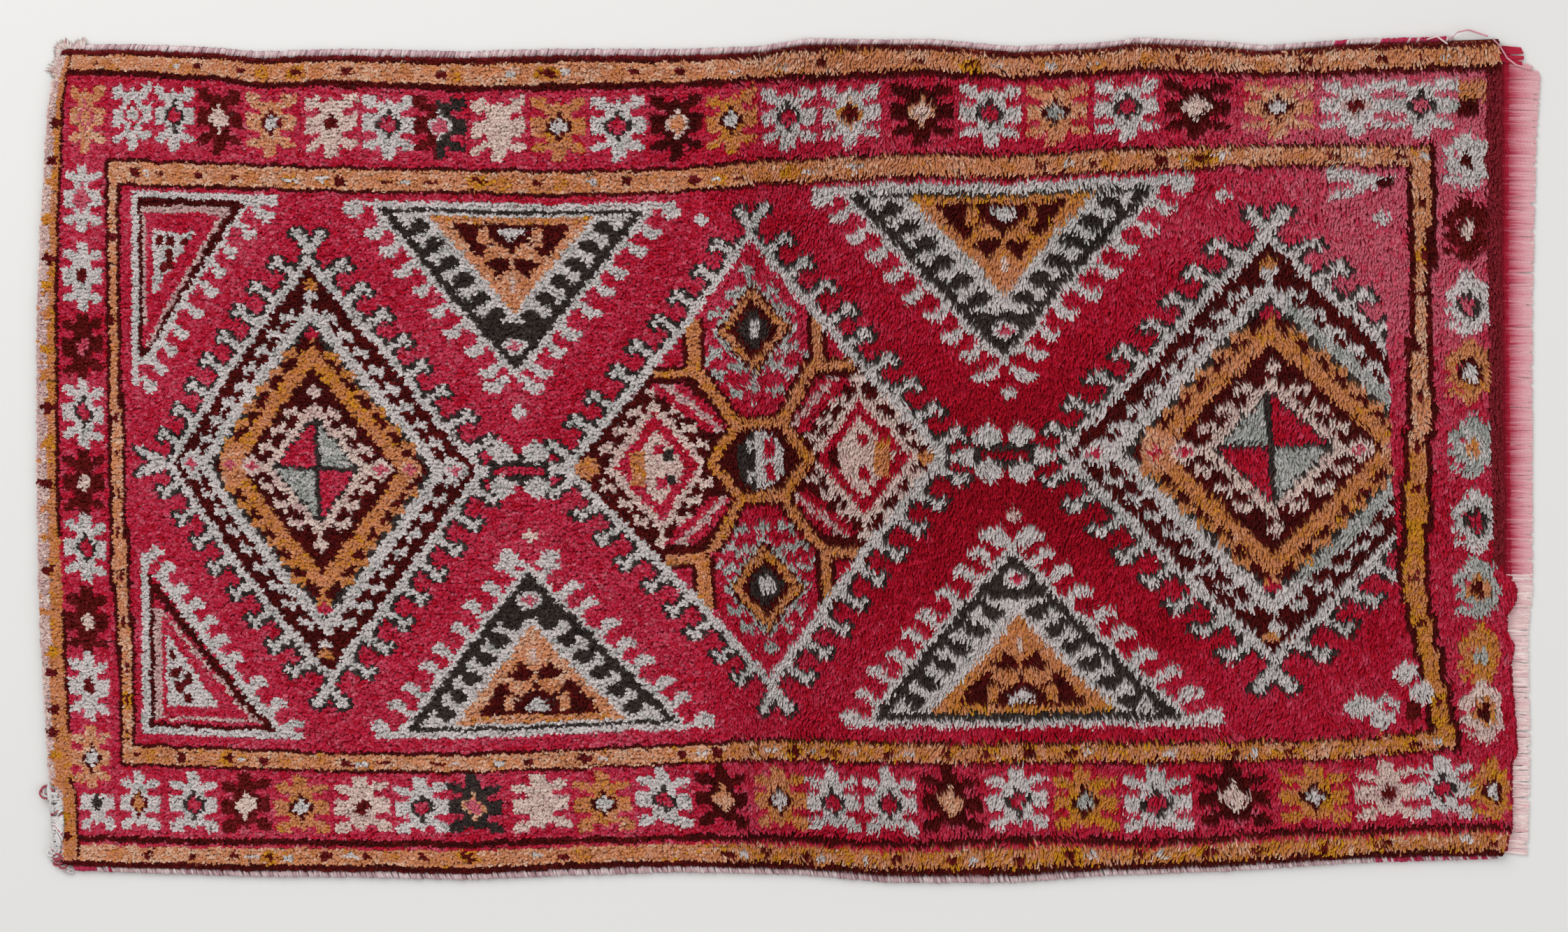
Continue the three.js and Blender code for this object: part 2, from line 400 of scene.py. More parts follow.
# Rosettes of the borders, each with the yarn letters of its wool, outline and heart
BACK_ROSETTES = table("""
row    knot   w  c  h
13.5   22     a  m  a
26.5   21     w  r  w
39     20.5   w  c  r
51     21     b  p  p
63     21     a  b  w
75.5   21     p  p  b
87.5   21     w  c  r
99     20.5   c  w  m
110.5  21     p  p  p
123    21     o  d  w
135    21     w  c  r
147    21     d  p  a
159    21     o  d  w
171    21     w  c  r
183    21     w  o  b
195.5  21     d  a  p
208    21     w  c  r
220    21     a  d  g
232    21     w  c  r
244    21     d  p  p
257    21     a  d  w
268.5  21     w  q  b
279.5  21     w  c  r
""")
FRONT_ROSETTES = table("""
row    knot   w  c  h
27.2   216    w  b  o
39.5   216    w  c  r
52     216    b  p  p
64     216    o  d  w
75.5   216    p  p  b
87.5   216    w  c  r
98.5   216    c  a  m
111.5  216    p  p  p
124    216    o  d  w
135.5  216    w  c  r
148    216    d  a  a
160.5  216    o  d  w
172    216    w  c  r
183.5  216    w  c  r
196    216    d  a  a
207.5  216    w  c  r
219.5  216    e  d  g
232    216    w  c  r
244    216    d  p  p
256.5  216    e  d  w
268.5  216    p  q  b
279.4  216    w  c  r
""")
END_ROSETTES = table("""
row    knot   w  c  h
12.5   44     w  m  m
12.5   66     w  w  b
12.5   86     b  b  m
12.5   105    w  c  r
12.5   124    b  b  p
13     143    w  c  r
13     163    b  b  p
13     182    w  w  b
12.5   202    a  d  w
""")
END_FLOWERS = table("""
row    knot   w  c  h
286    38     w  w  d
286    58     b  b  p
286    79     w  c  r
286    98     o  d  w
286    119    g  w  o
286    140    w  c  r
286    159    g  o  d
286    178    e  e  g
286    194    p  o  d
287.5  217    e  d  w
""")

TWO_WOOLS = {"row": 93, "to_row": 98.5, "knot": 11, "to_knot": 31}  # half of a rosette
# What the right back corner leaves of two rosettes
CORNER_BLOCKS = table("""
row    to_row  knot  to_knot  yarn
284.4  285.6   12    16.5     w
284.4  285.6   18.5  23       g
286.2  289.6   12.5  19       o
286.2  289.2   19    24.5     d
""")

# Stripes along the rug from back to front
LONG_STRIPES = table("""
knot  to    yarn
0     1.7   d
1.7   8.3   a
8.3   9.6   d
33    34    d
34    39.6  a
39.6  40.6  d
198   199   d
199   204   a
204   205.4 d
227.3 229.5 d
229.5 235.2 a
235.2 237   d
0     0.9   b
""")
FIELD_FRONT = 198
INNER_GUARD_BACK, INNER_GUARD_FRONT = 33, 205.4
GUARD_MIDDLES = (5, 36.8, 201.5, 232.3)

# Middles of the inner guard stripes of both ends, as they wander, and their widths in rows
END_GUARDS = table("""
knot  left   right  width
33    21.0   279.5  4.6
70    20.8   279.3  4.4
110   21.2   278.3  5.0
140   21.6   276.6  6.0
160   22.6   276.0  5.6
180   23.6   278.4  5.2
205   23.6   280.8  5.2
""")
# Left end of the pile: row of its dark line, and width of the orange stripe beside it
LEFT_BAND = table("""
knot  line  stripe
8     6.1   1.9
40    6.0   1.9
100   6.2   2.0
160   6.5   2.8
185   7.3   4.2
205   7.5   4.6
232   6.9   4.9
""")
GUARD_OUTLINE = 1.1  # rows of dark wool on each side of a guard stripe
CORNER_OVERLAP = 1.2  # rows that the stripes along the rug reach past those of the ends
GOLDEN_KNOT = 120  # in front of this the right end's stripe is golden
DARK_LINE = 0.9  # rows of the left end's dark line
RIGHT_SHADE_ROW = 289.6  # rows of the right end's rim, painted dark brown as painted shade, start here
RIGHT_SHADE_KNOTS = (10, 153)

# Rings of the big medallions, in rows inwards from the edge; toothed ones carry teeth outwards
RINGS = table("""
depth  to    yarn  teeth
-0.9   0     c     no
2.3    8.1   d     no
8.1    11.3  w     w
11.3   12.5  c     no
12.5   14.8  d     no
14.8   18.6  o     o
18.6   24.2  d     no
24.2   26.4  p     p
26.4   27.2  c     no
""")
# Rings of the small diamonds in the middle medallion: back and front ones, and those at its sides
SCALLOPS = table("""
depth  to    yarn  teeth
-5.8   -5.2  r     g
-1.8   0     g     g
""")
NESTED = table("""
depth  to    yarn  teeth
0.3    2.8   d     no
2.8    4.9   p     p
4.9    7.4   r     no
7.4    14    p     no
""")
END_LAYERS = table("""
depth  yarn
-0.7   d
0      o
2.1    d
3.6    c
""")
ROSETTE_LEANS = (0, 0, 0.12, -0.08)  # knots from one row to the next
WHITE_LINE = 2.3  # rows of the white line round a medallion
MIDDLE_LINE = 2.5  # and round the middle one
GREY_RING = (8.2, 11.3)  # depths of the right medallion's white ring
QUARTERS_DEPTH = 27

# From one motif to the next along a slanting side, in knots, and from its tip to the first
HOOK_PITCH, HOOKS_FROM = 7, 6.5
TOOTH_PITCH, TEETH_FROM = 5, 4.5
DROP_PITCH, DROPS_FROM = 5.6, 4.4
MARK_PITCH, MARKS_FROM = 5, 4.6

# Diamonds: centre, half sizes, and the rows of the back and front tips where they lean
DIAMONDS = table("""
row    knot   half_rows  half_knots  back_tip  front_tip  hooks
70.3   118.8  35.5       61          70.3      70.9       8
253.8  118    36         60          254.4     251.6      8
159.5  118.4  39.5       66          162.2     161        9
""")
RIGHT_MEDALLION_CUT = 273  # rows beyond this are left crimson
END_DIAMONDS = table("""
row    knot   half_rows  half_knots  from  to
161.9  81.5   7.6        12          0     104
161.4  154.8  7.6        12          134   237
""")
SIDE_DIAMONDS = table("""
row    knot   half_rows  half_knots
139.6  118.7  13.4       24.5
182.6  118.7  14.0       24.5
""")
HEXAGON = {"row": 161.7, "knot": 119, "half_rows": 12, "half_knots": 14}
SIDE_BARS = table("""
row    to_row  knot   to_knot  yarn
134.2  136.6   113.5  124      o
138.6  140.6   112    115      r
138.6  140.6   122    125      r
185.2  187.6   113.5  124      o
181.6  183.6   112    115      r
181.6  183.6   122    125      r
141    143     114    117      c
141    143     121    124      c
175.5  178     116    121      d
""")
DISC_BARS = table("""
row    to_row  knot   to_knot  yarn
163    165.4   113    118      r
163    165.4   120    125      r
""")
# Rows from the middle to the crimson of the back and front parts
FRAME_REACH = table("""
knot  half
40    40
92    12.5
108   5
118   0
130   5
145   12.5
200   40
""")

# Strokes of the middle medallion's orange frame, in rows and knots
FRAME_STROKES = table("""
row    knot   to_row  to_knot  width
148.5  77     148.5   92       2.1
175    76     175     92       2.1
149    92     157     108      2.6
174    92     167     108      2.6
157.5  108    151     118.5    2.6
166.5  108    172     118.5    2.6
151    118.5  157.5   130      2.6
172    118.5  166     130      2.6
157    130    149.5   144      2.6
166    130    173.5   144      2.6
147.5  145    147.5   160      2.1
174    145    174     160      2.1
""")
FRAME_BARS = table("""
row    to_row  knot   to_knot
139.5  150     90.5   93.5
173    182.5   91     94
157    167     107.3  110.3
157    166.5   128.3  131.2
139.5  148.5   144    147
173    182     144    147
""")
OVALS = table("""
row    knot  to_row  to_knot
142    95    154     110
178    96    168     111
143    141   154     128
178    140   168     128
""")

# The two triangles on each side of the field
TRIANGLES = table("""
row    base   towards  tip
112.4  45.2   1        89
209    44.8   1        89.5
112.6  191.8  -1       149
209    191.4  -1       146.5
""")
TRIANGLE_HALF = 26.3  # rows
WHITE_LINE_HALF = 34  # of the line beyond its base
SOLID_TIP = 12  # knots at the tip without marks
HEART_DEPTH = 2  # knots from the base to the heart

# Strokes of the left corner triangles, their width in rows: outer edges, then those inside
CORNER_EDGES = table("""
row   knot   to_row  to_knot  width  yarn
55    45.4   28.6    91       5.0    w
32.5  150    60      193      3.4    w
29    150    57      193      4      r
""")
CORNER_STROKES = table("""
row   knot   to_row  to_knot  width  yarn
55    45.4   28.6    89       2.2    d
52    47     30      86       1.4    q
31    153    58      193      2.4    d
33    160    55      191      1.4    q
""")
CORNER_BARS = table("""
row   to_row  knot   to_knot  yarn
25.5  28      43     97       w
26    64      42     44.6     w
28    29.4    44.6   89       d
28    55      44.4   46.2     d
29.4  30.4    46.2   80       q
30    53      46.2   47.6     q
27.6  30      144    195      w
29    65      193    195.4    w
30    31.4    150    193.4    d
31    58      191.5  193.4    d
31.4  32.6    160    191.5    q
32    56      189.5  191.5    q
""")
CORNER_DROPS = table("""
row   knot   flip
61    48     1
57    53     1
53    58     1
50.5  64     1
48    69.5   1
44    76     1
40.5  81.5   1
37    87     1
34.5  92     1
31    97     1
32    143.5  -1
35    148    -1
38.5  153.5  -1
42    157.5  -1
45    162.5  -1
48    167.5  -1
51.5  173    -1
56    179    -1
60    185    -1
63.5  191    -1
""")
CORNER_HEARTS = table("""
row   knot  to_knot  width  to_width
31.6  53    72       12.5   0.32
33.6  165   187.5    0      13.3
""")
CORNER_DASHES = table("""
row   knot
33    54
36    54
40    54.5
36    58
34    62
36    61
34.5  171
36.5  175
38    178
36    180
38    183
35    176
""")
DASH_ROWS, DASH_KNOTS = 1.6, 3
# What is left of the right corners
RIGHT_CORNER_BARS = table("""
row    to_row  knot  to_knot  yarn
264    275     42.8  45.2     w
272.4  275     44.4  46.4     d
""")
RIGHT_CORNER_STARS = table("""
row    knot  h
264.5  189   w
268    193   w
273    181   w
276    187   w
269.5  190   r
""")
RIGHT_CORNER_BLOT = {"row": 273, "to_row": 276, "knot": 190, "to_knot": 195}
CONNECTORS = table("""
row    to_row  knot
105.5  118     118.9
202.5  214.5   117.9
""")
# Sparks that stand alone in the field
SPARKS = table("""
row    knot   wool
151    48.5   w
247.5  47.5   w
272.5  55     w
112.6  102    w
209    101    w
113.2  137    p
209.4  135    p
""")


def axis_row(diamond, knot):
    """The row of a diamond's upright axis at a knot. It leans where the tips have rows of their own."""
    knots = diamond["knot"] + diamond["half_knots"] * np.array([-1, 0, 1])
    rows = [diamond.get(name, diamond["row"]) for name in ("back_tip", "row", "front_tip")]
    return np.interp(knot, knots, rows)


class Chart:
    """Which yarn each knot of the rug has, and how pale its shade is."""

    def __init__(self):
        self.yarn, self.shade = (np.full((ROWS, KNOTS), value) for value in LETTERS["r"])
        self.row, self.knot = np.meshgrid(
            np.arange(ROWS) + 0.5, np.arange(KNOTS) + 0.5, indexing="ij"
        )
        self.everywhere = np.ones((ROWS, KNOTS), bool)

    def paint(self, where, letter):
        self.yarn[where], self.shade[where] = LETTERS[letter]

    def box(self, bar, grow=0.0):
        """Knots in an upright block."""
        rows = (self.row > bar["row"] - grow) & (self.row < bar["to_row"] + grow)
        return rows & (self.knot > bar["knot"] - grow) & (self.knot < bar["to_knot"] + grow)

    def bars(self, rows):
        for bar in rows:
            self.paint(self.box(bar), bar["yarn"])

    def oval(self, place, half):
        """Knots in an oval round a place."""
        return ((self.row - place[0]) / half[0]) ** 2 + ((self.knot - place[1]) / half[1]) ** 2 < 1

    def slant(self, line, first, last):
        """A value along a slanting line at each knot, from one of its columns to another, and how far
        along the line that is."""
        share = (self.knot - line["knot"]) / (line["to_knot"] - line["knot"])
        return line[first] + (line[last] - line[first]) * share, share

    def stroke(self, line, width):
        """Knots near a slanting stroke, its width counted in rows."""
        middle, share = self.slant(line, "row", "to_row")
        return (share >= 0) & (share <= 1) & (np.abs(self.row - middle) < width / 2)

    def strokes(self, rows):
        for line in rows:
            self.paint(self.stroke(line, line["width"]), line["yarn"])

    def depth(self, diamond):
        """How many rows inside the edge of a diamond each knot lies."""
        reach = np.abs(self.row - axis_row(diamond, self.knot)) / diamond["half_rows"]
        reach = reach + np.abs(self.knot - diamond["knot"]) / diamond["half_knots"]
        return diamond["half_rows"] * (1 - reach)

    def stamp(self, motif, place, flip=(1, 1), only=None, lean=0, **wools):
        """A motif on a place. wools gives other yarn letters for its own, and lean is how many knots
        it rises from one row to the next."""
        lines, anchor = MOTIFS[motif]
        for down, line in enumerate(lines):
            for across, letter in enumerate(line):
                away = across - anchor[0]
                row = math.floor(place[0] + flip[0] * away)
                knot = math.floor(place[1] + flip[1] * (down - anchor[1]) - lean * away)
                if letter == "." or not (0 <= row < ROWS and 0 <= knot < KNOTS):
                    continue
                if only is None or only[row, knot]:
                    self.paint((row, knot), wools.get(letter, letter))


def flanks(diamond, inset, pitch, first, most=99):
    """Places at equal steps along the four sides of a diamond, with the way a motif is flipped there."""
    rows = diamond["half_rows"] - inset
    knots = diamond["half_knots"] * (1 - inset / diamond["half_rows"])
    for step in range(int(most)):
        away = first + step * pitch
        if away > knots - 2:
            return
        reach = rows * away / knots
        for side in (-1, 1):
            for end in (-1, 1):
                knot = diamond["knot"] + end * (knots - away)
                yield (axis_row(diamond, knot) + side * reach, knot), (-side, -end)


def stripes_and_borders(chart, rng):
    """The guard stripes along and across the rug, with their small marks."""
    row, knot = chart.row, chart.knot
    for stripe in LONG_STRIPES:
        chart.paint((knot > stripe["knot"]) & (knot < stripe["to"]), stripe["yarn"])
    between = (knot > INNER_GUARD_BACK) & (knot < INNER_GUARD_FRONT)
    light = (knot > INNER_GUARD_BACK + 1) & (knot < INNER_GUARD_FRONT - 1.2)
    half = along(END_GUARDS, "knot", "width", knot) / 2
    guards = {end: along(END_GUARDS, "knot", end, knot) for end in ("left", "right")}
    for end, outward in (("left", -1), ("right", 1)):
        away = (row - guards[end]) * outward
        chart.paint(between & (away > half), "r")
        chart.paint(between & (np.abs(away) < half), "d")
        chart.paint(light & (np.abs(away) < half - GUARD_OUTLINE), "a")
        golden = light & (np.abs(away) < half - GUARD_OUTLINE) & (knot > GOLDEN_KNOT)
        if end == "right":
            chart.paint(golden, "e")
    # The inner stripes along the rug run on over those corners
    inside = (row > guards["left"] - CORNER_OVERLAP) & (row < guards["right"] + CORNER_OVERLAP)
    for stripe in (LONG_STRIPES[4], LONG_STRIPES[7]):
        on_stripe = (knot > stripe["knot"]) & (knot < stripe["to"])
        chart.paint(inside & on_stripe, stripe["yarn"])
    # Left end: pale band with marks, orange stripe, dark line
    line = along(LEFT_BAND, "knot", "line", knot)
    stripe = along(LEFT_BAND, "knot", "stripe", knot)
    ends = (knot > 2) & (knot < KNOTS - 3)
    band = ends & (row < line - DARK_LINE)
    chart.paint(ends & (row < line), "d")
    chart.paint(band, "o")
    chart.paint(ends & (row < line - DARK_LINE - stripe), "v")
    for middle in 12 + np.cumsum(rng.uniform(5, 12, 24)):
        mark = chart.oval((rng.uniform(1.8, 3), middle), (1.7, 1.3))
        chart.paint(mark & band, "ybbo"[rng.integers(0, 4)])
    # Right end: its crimson rim painted dark brown, as painted shade beside the taller pile
    first, last = RIGHT_SHADE_KNOTS
    chart.paint((row > RIGHT_SHADE_ROW) & (knot > first) & (knot < last), "k")
    guard_marks(chart, rng)


def guard_marks(chart, rng):
    """Small marks in the guard stripes: brown ones in a rough line, yellow and white patches between."""
    apricot = (chart.yarn == APRICOT) | (chart.yarn == PINK)
    # The front stripes turn golden towards the right
    share = np.clip((chart.row - 130) / 90, 0, 0.5) * (chart.knot > FIELD_FRONT)
    chart.paint(apricot & (rng.random((ROWS, KNOTS)) < share), "e")
    places = []
    for knot in GUARD_MIDDLES:
        steps = 6 + np.cumsum(rng.uniform(7, 12, 40))
        places += [(row, knot, 1.2, 0.9) for row in steps if row < ROWS - 4]
    for end in ("left", "right"):
        steps = 40 + np.cumsum(rng.uniform(9, 15, 16))
        rows = along(END_GUARDS, "knot", end, steps)
        places += [(row, knot, 0.7, 1.2) for row, knot in zip(rows, steps) if knot < FIELD_FRONT]
    for row, knot, long, wide in places:
        beside = row + rng.uniform(2.5, 5)
        near = rng.integers(0, 2, 2)
        for letter, share, middle, half in (
            ("y", 0.16, row, (2.2, 2.2)),
            ("o", 0.6, beside, (1.8, 2.2)),
            ("w", 0.4, beside, (1.2, 0.9)),
            ("b", 0.75, row, (long, wide + 0.4 * near[0])),
        ):
            mark = chart.oval((middle, knot + 0.6 * near[1]), half)
            if rng.random() < share:
                chart.paint(mark & apricot, letter)
    chart.paint(apricot & (rng.random((ROWS, KNOTS)) < 0.03), "o")


def rosettes(chart, rng):
    """The rosettes of all four borders. Some lean a little, as knotting by hand leaves them."""
    row, knot = chart.row, chart.knot
    middle, width = (along(END_GUARDS, "knot", name, knot) for name in ("right", "width"))
    free = (row < 260) | (row > middle + width / 2 + 0.6) | (knot < INNER_GUARD_BACK)
    free = free & (row < RIGHT_SHADE_ROW) | (knot > 205)
    for rows, motif, way in (
        (BACK_ROSETTES, "rosette", 1),
        (FRONT_ROSETTES, "front_rosette", -1),
        (END_ROSETTES, "end_rosette", 1),
        (END_FLOWERS, "flower", 1),
    ):
        for place in rows:
            lean = 0 if motif == "flower" else rng.choice(ROSETTE_LEANS)
            wools = {letter: place[letter] for letter in "wch"}
            chart.stamp(motif, (place["row"], place["knot"]), (1, way), free, lean, **wools)
    # One changes its wool halfway, and two corners leave only parts of theirs
    chart.paint(chart.box(TWO_WOOLS) & (chart.yarn == CHARCOAL), "b")
    chart.stamp("cut_rosette", (14, 216), (1, -1), c="w", h="c")
    chart.bars(CORNER_BLOCKS)


def toothed_rings(chart, diamond, rings, only):
    """Nested diamond rings, with teeth of their own wool outwards."""
    depth = chart.depth(diamond)
    for ring in rings:
        chart.paint(only & (depth > ring["depth"]) & (depth <= ring["to"]), ring["yarn"])
    for ring in rings:
        if ring["teeth"] == "no":
            continue
        for place, flip in flanks(diamond, ring["depth"], TOOTH_PITCH, TEETH_FROM):
            chart.stamp("tooth", place, flip, only, w=ring["teeth"])
        knots = diamond["half_knots"] * (1 - ring["depth"] / diamond["half_rows"])
        for end in (-1, 1):
            knot = diamond["knot"] + end * (knots + 2)
            chart.stamp("spark", (axis_row(diamond, knot), knot), only=only, w=ring["teeth"])


def hooks(chart, diamond, only):
    """White hooks with a dark outline along a diamond, ears on its tips and forks on its sides."""
    for place, flip in flanks(diamond, 0, HOOK_PITCH, HOOKS_FROM, diamond["hooks"]):
        chart.stamp("hook", place, flip, only)
    for end in (-1, 1):
        knot = diamond["knot"] + end * diamond["half_knots"]
        chart.stamp("ears", (axis_row(diamond, knot), knot), (1, -end), only)
        side = diamond["row"] + end * diamond["half_rows"]
        chart.stamp("fork", (side, diamond["knot"]), (-end, 1), only)


def medallion(chart, diamond, quarters, only):
    """A stepped diamond medallion with toothed rings and a quartered middle."""
    toothed_rings(chart, diamond, RINGS, only)
    depth = chart.depth(diamond)
    chart.paint(only & (depth > 0) & (depth <= WHITE_LINE), "w")
    hooks(chart, diamond, only)
    # Quarters, parted by thin lines
    middle = only & (depth > QUARTERS_DEPTH)
    axis, centre = axis_row(diamond, chart.knot), diamond["knot"]
    left, back = chart.row < axis - 0.3, chart.knot < centre - 0.8
    for where, letter in zip((left & back, ~left & back, left & ~back, ~left & ~back), quarters):
        chart.paint(middle & where, letter)
    chart.paint(middle & (np.abs(chart.knot - centre + 0.6) < 0.6), "c")
    chart.paint(middle & (np.abs(chart.row - axis + 0.1) < 0.5), "c")
    # A pale blot where the orange ring turns at the left
    turn = diamond["row"] - diamond["half_rows"] + 17.4
    chart.paint(only & chart.oval((turn, centre), (3.6, 5.8)), "a")
    # Stars on the long axis, sparks on the upright one
    for end in (-1, 1):
        for inset, wool in ((6.2, "w"), (16.2, "a"), (22, "p")):
            row = diamond["row"] + end * (diamond["half_rows"] - inset)
            chart.stamp("star", (row, centre), only=only, w=wool, h="m")
        for inset, wool in ((9, "o"), (22.5, "r")):
            knot = centre + end * (diamond["half_knots"] - inset)
            chart.stamp("small_spark", (axis_row(diamond, knot), knot), only=only, w=wool)


def middle_medallion(chart, diamond):
    """The middle medallion: an orange frame that parts it into four, each with a diamond of its own."""
    row, knot = chart.row, chart.knot
    line = chart.depth(diamond)
    inside = line > MIDDLE_LINE
    chart.paint((line > -0.9) & (line <= 0), "c")
    chart.paint(inside, "d")
    chart.paint(inside & (line > 3.4) & (np.abs(knot - diamond["knot"]) > 27), "r")
    # Crimson back and front parts, bounded by the frame
    half = along(FRAME_REACH, "knot", "half", knot)
    ends = (knot < 91) | (knot > 146) | (np.abs(row - 161.7) < half)
    crimson = inside & ends
    chart.paint(crimson & ((knot < 108) | (knot > 130)), "r")
    for part in END_DIAMONDS:
        reach = crimson & (line > 5) & (knot > part["from"]) & (knot < part["to"])
        toothed_rings(chart, part, SCALLOPS, reach)
        within = chart.depth(part)
        for layer in END_LAYERS:
            chart.paint(reach & (within > layer["depth"]), layer["yarn"])
        chart.paint((np.abs(row - part["row"]) < 1.2) & (np.abs(knot - part["knot"]) < 2.6), "w")
    # Left and right parts
    for part in SIDE_DIAMONDS:
        reach = inside & ~crimson & (np.abs(row - part["row"]) < 14.5)
        toothed_rings(chart, part, NESTED, reach)
    chart.bars(SIDE_BARS)
    for place in (125, 195.5):
        chart.stamp("star", (place, 118.5), only=inside, w="o", h="o")
    # Slanted ovals, then the orange frame with its dark outline
    for width, letter in ((7.2, "r"), (2.2, "q")):
        for oval in OVALS:
            chart.paint(chart.stroke(oval, width) & inside, letter)
    for grow, letter in ((1, "d"), (0, "o")):
        for bar in FRAME_BARS:
            chart.paint(chart.box(bar, grow), letter)
        for stroke in FRAME_STROKES:
            chart.paint(chart.stroke(stroke, stroke["width"] + 2 * grow), letter)
    # Hexagon in the middle, with a disc that is half dark and half white
    centre = HEXAGON["knot"]
    chart.paint((chart.depth(HEXAGON) > 2.6) & (np.abs(knot - centre) < 8.6), "d")
    disc = chart.oval((161.8, centre), (5.3, 8.3))
    chart.paint(disc, "w")
    chart.paint(disc & (row < 161), "c")
    for side in (-4.5, 4.5):
        chart.stamp("bite", (159.5, centre + side))
    chart.bars(DISC_BARS)
    chart.paint((line > 0) & (line <= MIDDLE_LINE), "w")
    hooks(chart, diamond, chart.everywhere)


def triangles(chart):
    """The toothed triangles on both long sides of the field."""
    for place in TRIANGLES:
        middle, base, toward = place["row"], place["base"], place["towards"]
        rise = (chart.knot - base) * toward
        height = (place["tip"] - base) * toward
        away = np.abs(chart.row - middle)
        depth = TRIANGLE_HALF * (1 - rise / height) - away
        above = rise > -0.2
        for where, letter in (
            (above & (depth > -2.6), "w"),
            ((rise > -2.4) & (rise < 0) & (away < WHITE_LINE_HALF), "w"),
            (above & (depth > -0.9), "c"),
            ((rise > 1.2) & (depth > 1.3), "w"),
            (above & (rise < 1.2) & (away < TRIANGLE_HALF), "c"),
            ((rise > height - SOLID_TIP) & (depth > 1.3), "c"),
        ):
            chart.paint(where, letter)
        # Hooks outside, dark marks inside
        for side in (-1, 1):
            flip = (-side, toward)
            for step in range(-1, int(height / DROP_PITCH) + 1):
                knots = DROPS_FROM + step * DROP_PITCH
                reach = TRIANGLE_HALF * (1 - knots / height) + 2.6
                chart.stamp("drop", (middle + side * reach, base + toward * knots), flip)
            for step in range(int((height - SOLID_TIP) / MARK_PITCH)):
                knots = MARKS_FROM + step * MARK_PITCH
                reach = TRIANGLE_HALF * (1 - knots / height) - 5
                if reach > 0.5:
                    chart.stamp("mark", (middle + side * reach, base + toward * knots), flip)
        # Apricot heart, golden on the right
        wools = {"b": "d"}
        if middle > ROWS / 2:
            wools.update({"a": "o", "o": "e"})
        for side in (-1, 1):
            chart.stamp("heart", (middle, base + toward * HEART_DEPTH), (side, toward), **wools)
        # Small diamond near the tip
        tip = place["tip"]
        chart.stamp("small_star", (middle, tip - toward * 6), only=depth > 1, h="m")
        for side in (-1, 1):
            chart.stamp("tip_drop", (middle + side * 2.5, tip + toward * 5), (-side, toward))


def corners(chart):
    """The triangles in the left corners of the field, and what is left of the right ones."""
    row, knot = chart.row, chart.knot
    chart.strokes(CORNER_EDGES)
    # Inside is crimson up to the dark stroke
    edge, _ = chart.slant(CORNER_EDGES[0], "row", "to_row")
    chart.paint((row > 29) & (knot > 46) & (knot < 90) & (row < edge - 0.6), "r")
    chart.strokes(CORNER_STROKES)
    chart.bars(CORNER_BARS)
    for drop in CORNER_DROPS:
        chart.stamp("corner_drop", (drop["row"], drop["knot"]), (-1, drop["flip"]))
    # White hearts with brown dashes
    for heart in CORNER_HEARTS:
        width, share = chart.slant(heart, "width", "to_width")
        level = (share > 0) & (share < 1)
        chart.paint(level & (row > heart["row"]) & (row < heart["row"] + width), "w")
    for dash in CORNER_DASHES:
        ends = {"to_row": dash["row"] + DASH_ROWS, "to_knot": dash["knot"] + DASH_KNOTS}
        chart.paint(chart.box({**dash, **ends}), "b")
    # Right corners
    chart.stamp("corner_fork", (268, 46), c="m")
    chart.bars(RIGHT_CORNER_BARS)
    for place in RIGHT_CORNER_STARS:
        chart.stamp("star", (place["row"], place["knot"]), h=place["h"])
    chart.paint(chart.box(RIGHT_CORNER_BLOT), "b")


def connectors(chart):
    """The barred links between the medallions."""
    for link in CONNECTORS:
        middle = link["knot"]
        for grow, half, letter in ((0, 3, "c"), (-1.2, 1, "r")):
            rows = (chart.row > link["row"] - grow) & (chart.row < link["to_row"] + grow)
            chart.paint(rows & (np.abs(chart.knot - middle) < half), letter)
        for row in (link["row"] + 2.8, link["to_row"] - 2.8):
            for way in (-5, 5):
                chart.stamp("star", (row, middle + way), h="w")


def knot_chart():
    """The whole rug: yarn and shade of every knot."""
    rng = np.random.default_rng(SEED)
    chart = Chart()
    left, right, middle = DIAMONDS
    stripes_and_borders(chart, rng)
    rosettes(chart, rng)
    triangles(chart)
    corners(chart)
    medallion(chart, left, "rggr", chart.everywhere)
    uncut = chart.row < RIGHT_MEDALLION_CUT
    medallion(chart, right, "grrg", uncut)
    # Its white ring turns grey on the right side
    depth = chart.depth(right)
    ring = uncut & (depth > GREY_RING[0]) & (depth < GREY_RING[1])
    chart.paint(ring & (chart.row > right["row"] + 3) & (chart.yarn == IVORY), "g")
    middle_medallion(chart, middle)
    connectors(chart)
    for spark in SPARKS:
        chart.stamp("spark", (spark["row"], spark["knot"]), w=spark["wool"])
    return chart


# Colours, as sRGB hex

WOOLS = {
    # yarn: its shades from deep to pale, as plant dyes take unevenly and wear differently
    "crimson": ((0.0, "9A081C"), (0.3, "B80F29"), (0.5, "C0213E"), (0.75, "CB405C"), (1.0, "D26A7C")),
    "ivory": ((0.0, "9DA09A"), (0.3, "BEBCB8"), (0.6, "D6CDCC"), (1.0, "E2D8D4")),
    "pink": ((0.0, "C39B9B"), (0.5, "E0C8BE"), (1.0, "E9DACF")),
    "apricot": ((0.0, "D0921F"), (0.15, "CC8236"), (0.4, "CF8958"), (0.75, "D7946E"), (1.0, "E2BCA0")),
    "brown": ((0.0, "430B0A"), (0.5, "65110F"), (1.0, "8C2632")),
    "charcoal": ((0.0, "261F1D"), (0.5, "3C322F"), (1.0, "524440")),
}
BINDING_SHADES = ((0.0, "AC868E"), (0.4, "CDAEB0"), (0.8, "E4D0D0"), (0.9, "BE3A5C"), (1.0, "B22C4C"))
FRINGE_SHADES = (
    (0.0, "7A1222"), (0.08, "B21C38"), (0.2, "BE4C60"), (0.38, "D0808C"), (0.6, "DDA2AA"),
    (0.8, "DFB0B4"), (1.0, "EBD8D4"),
)
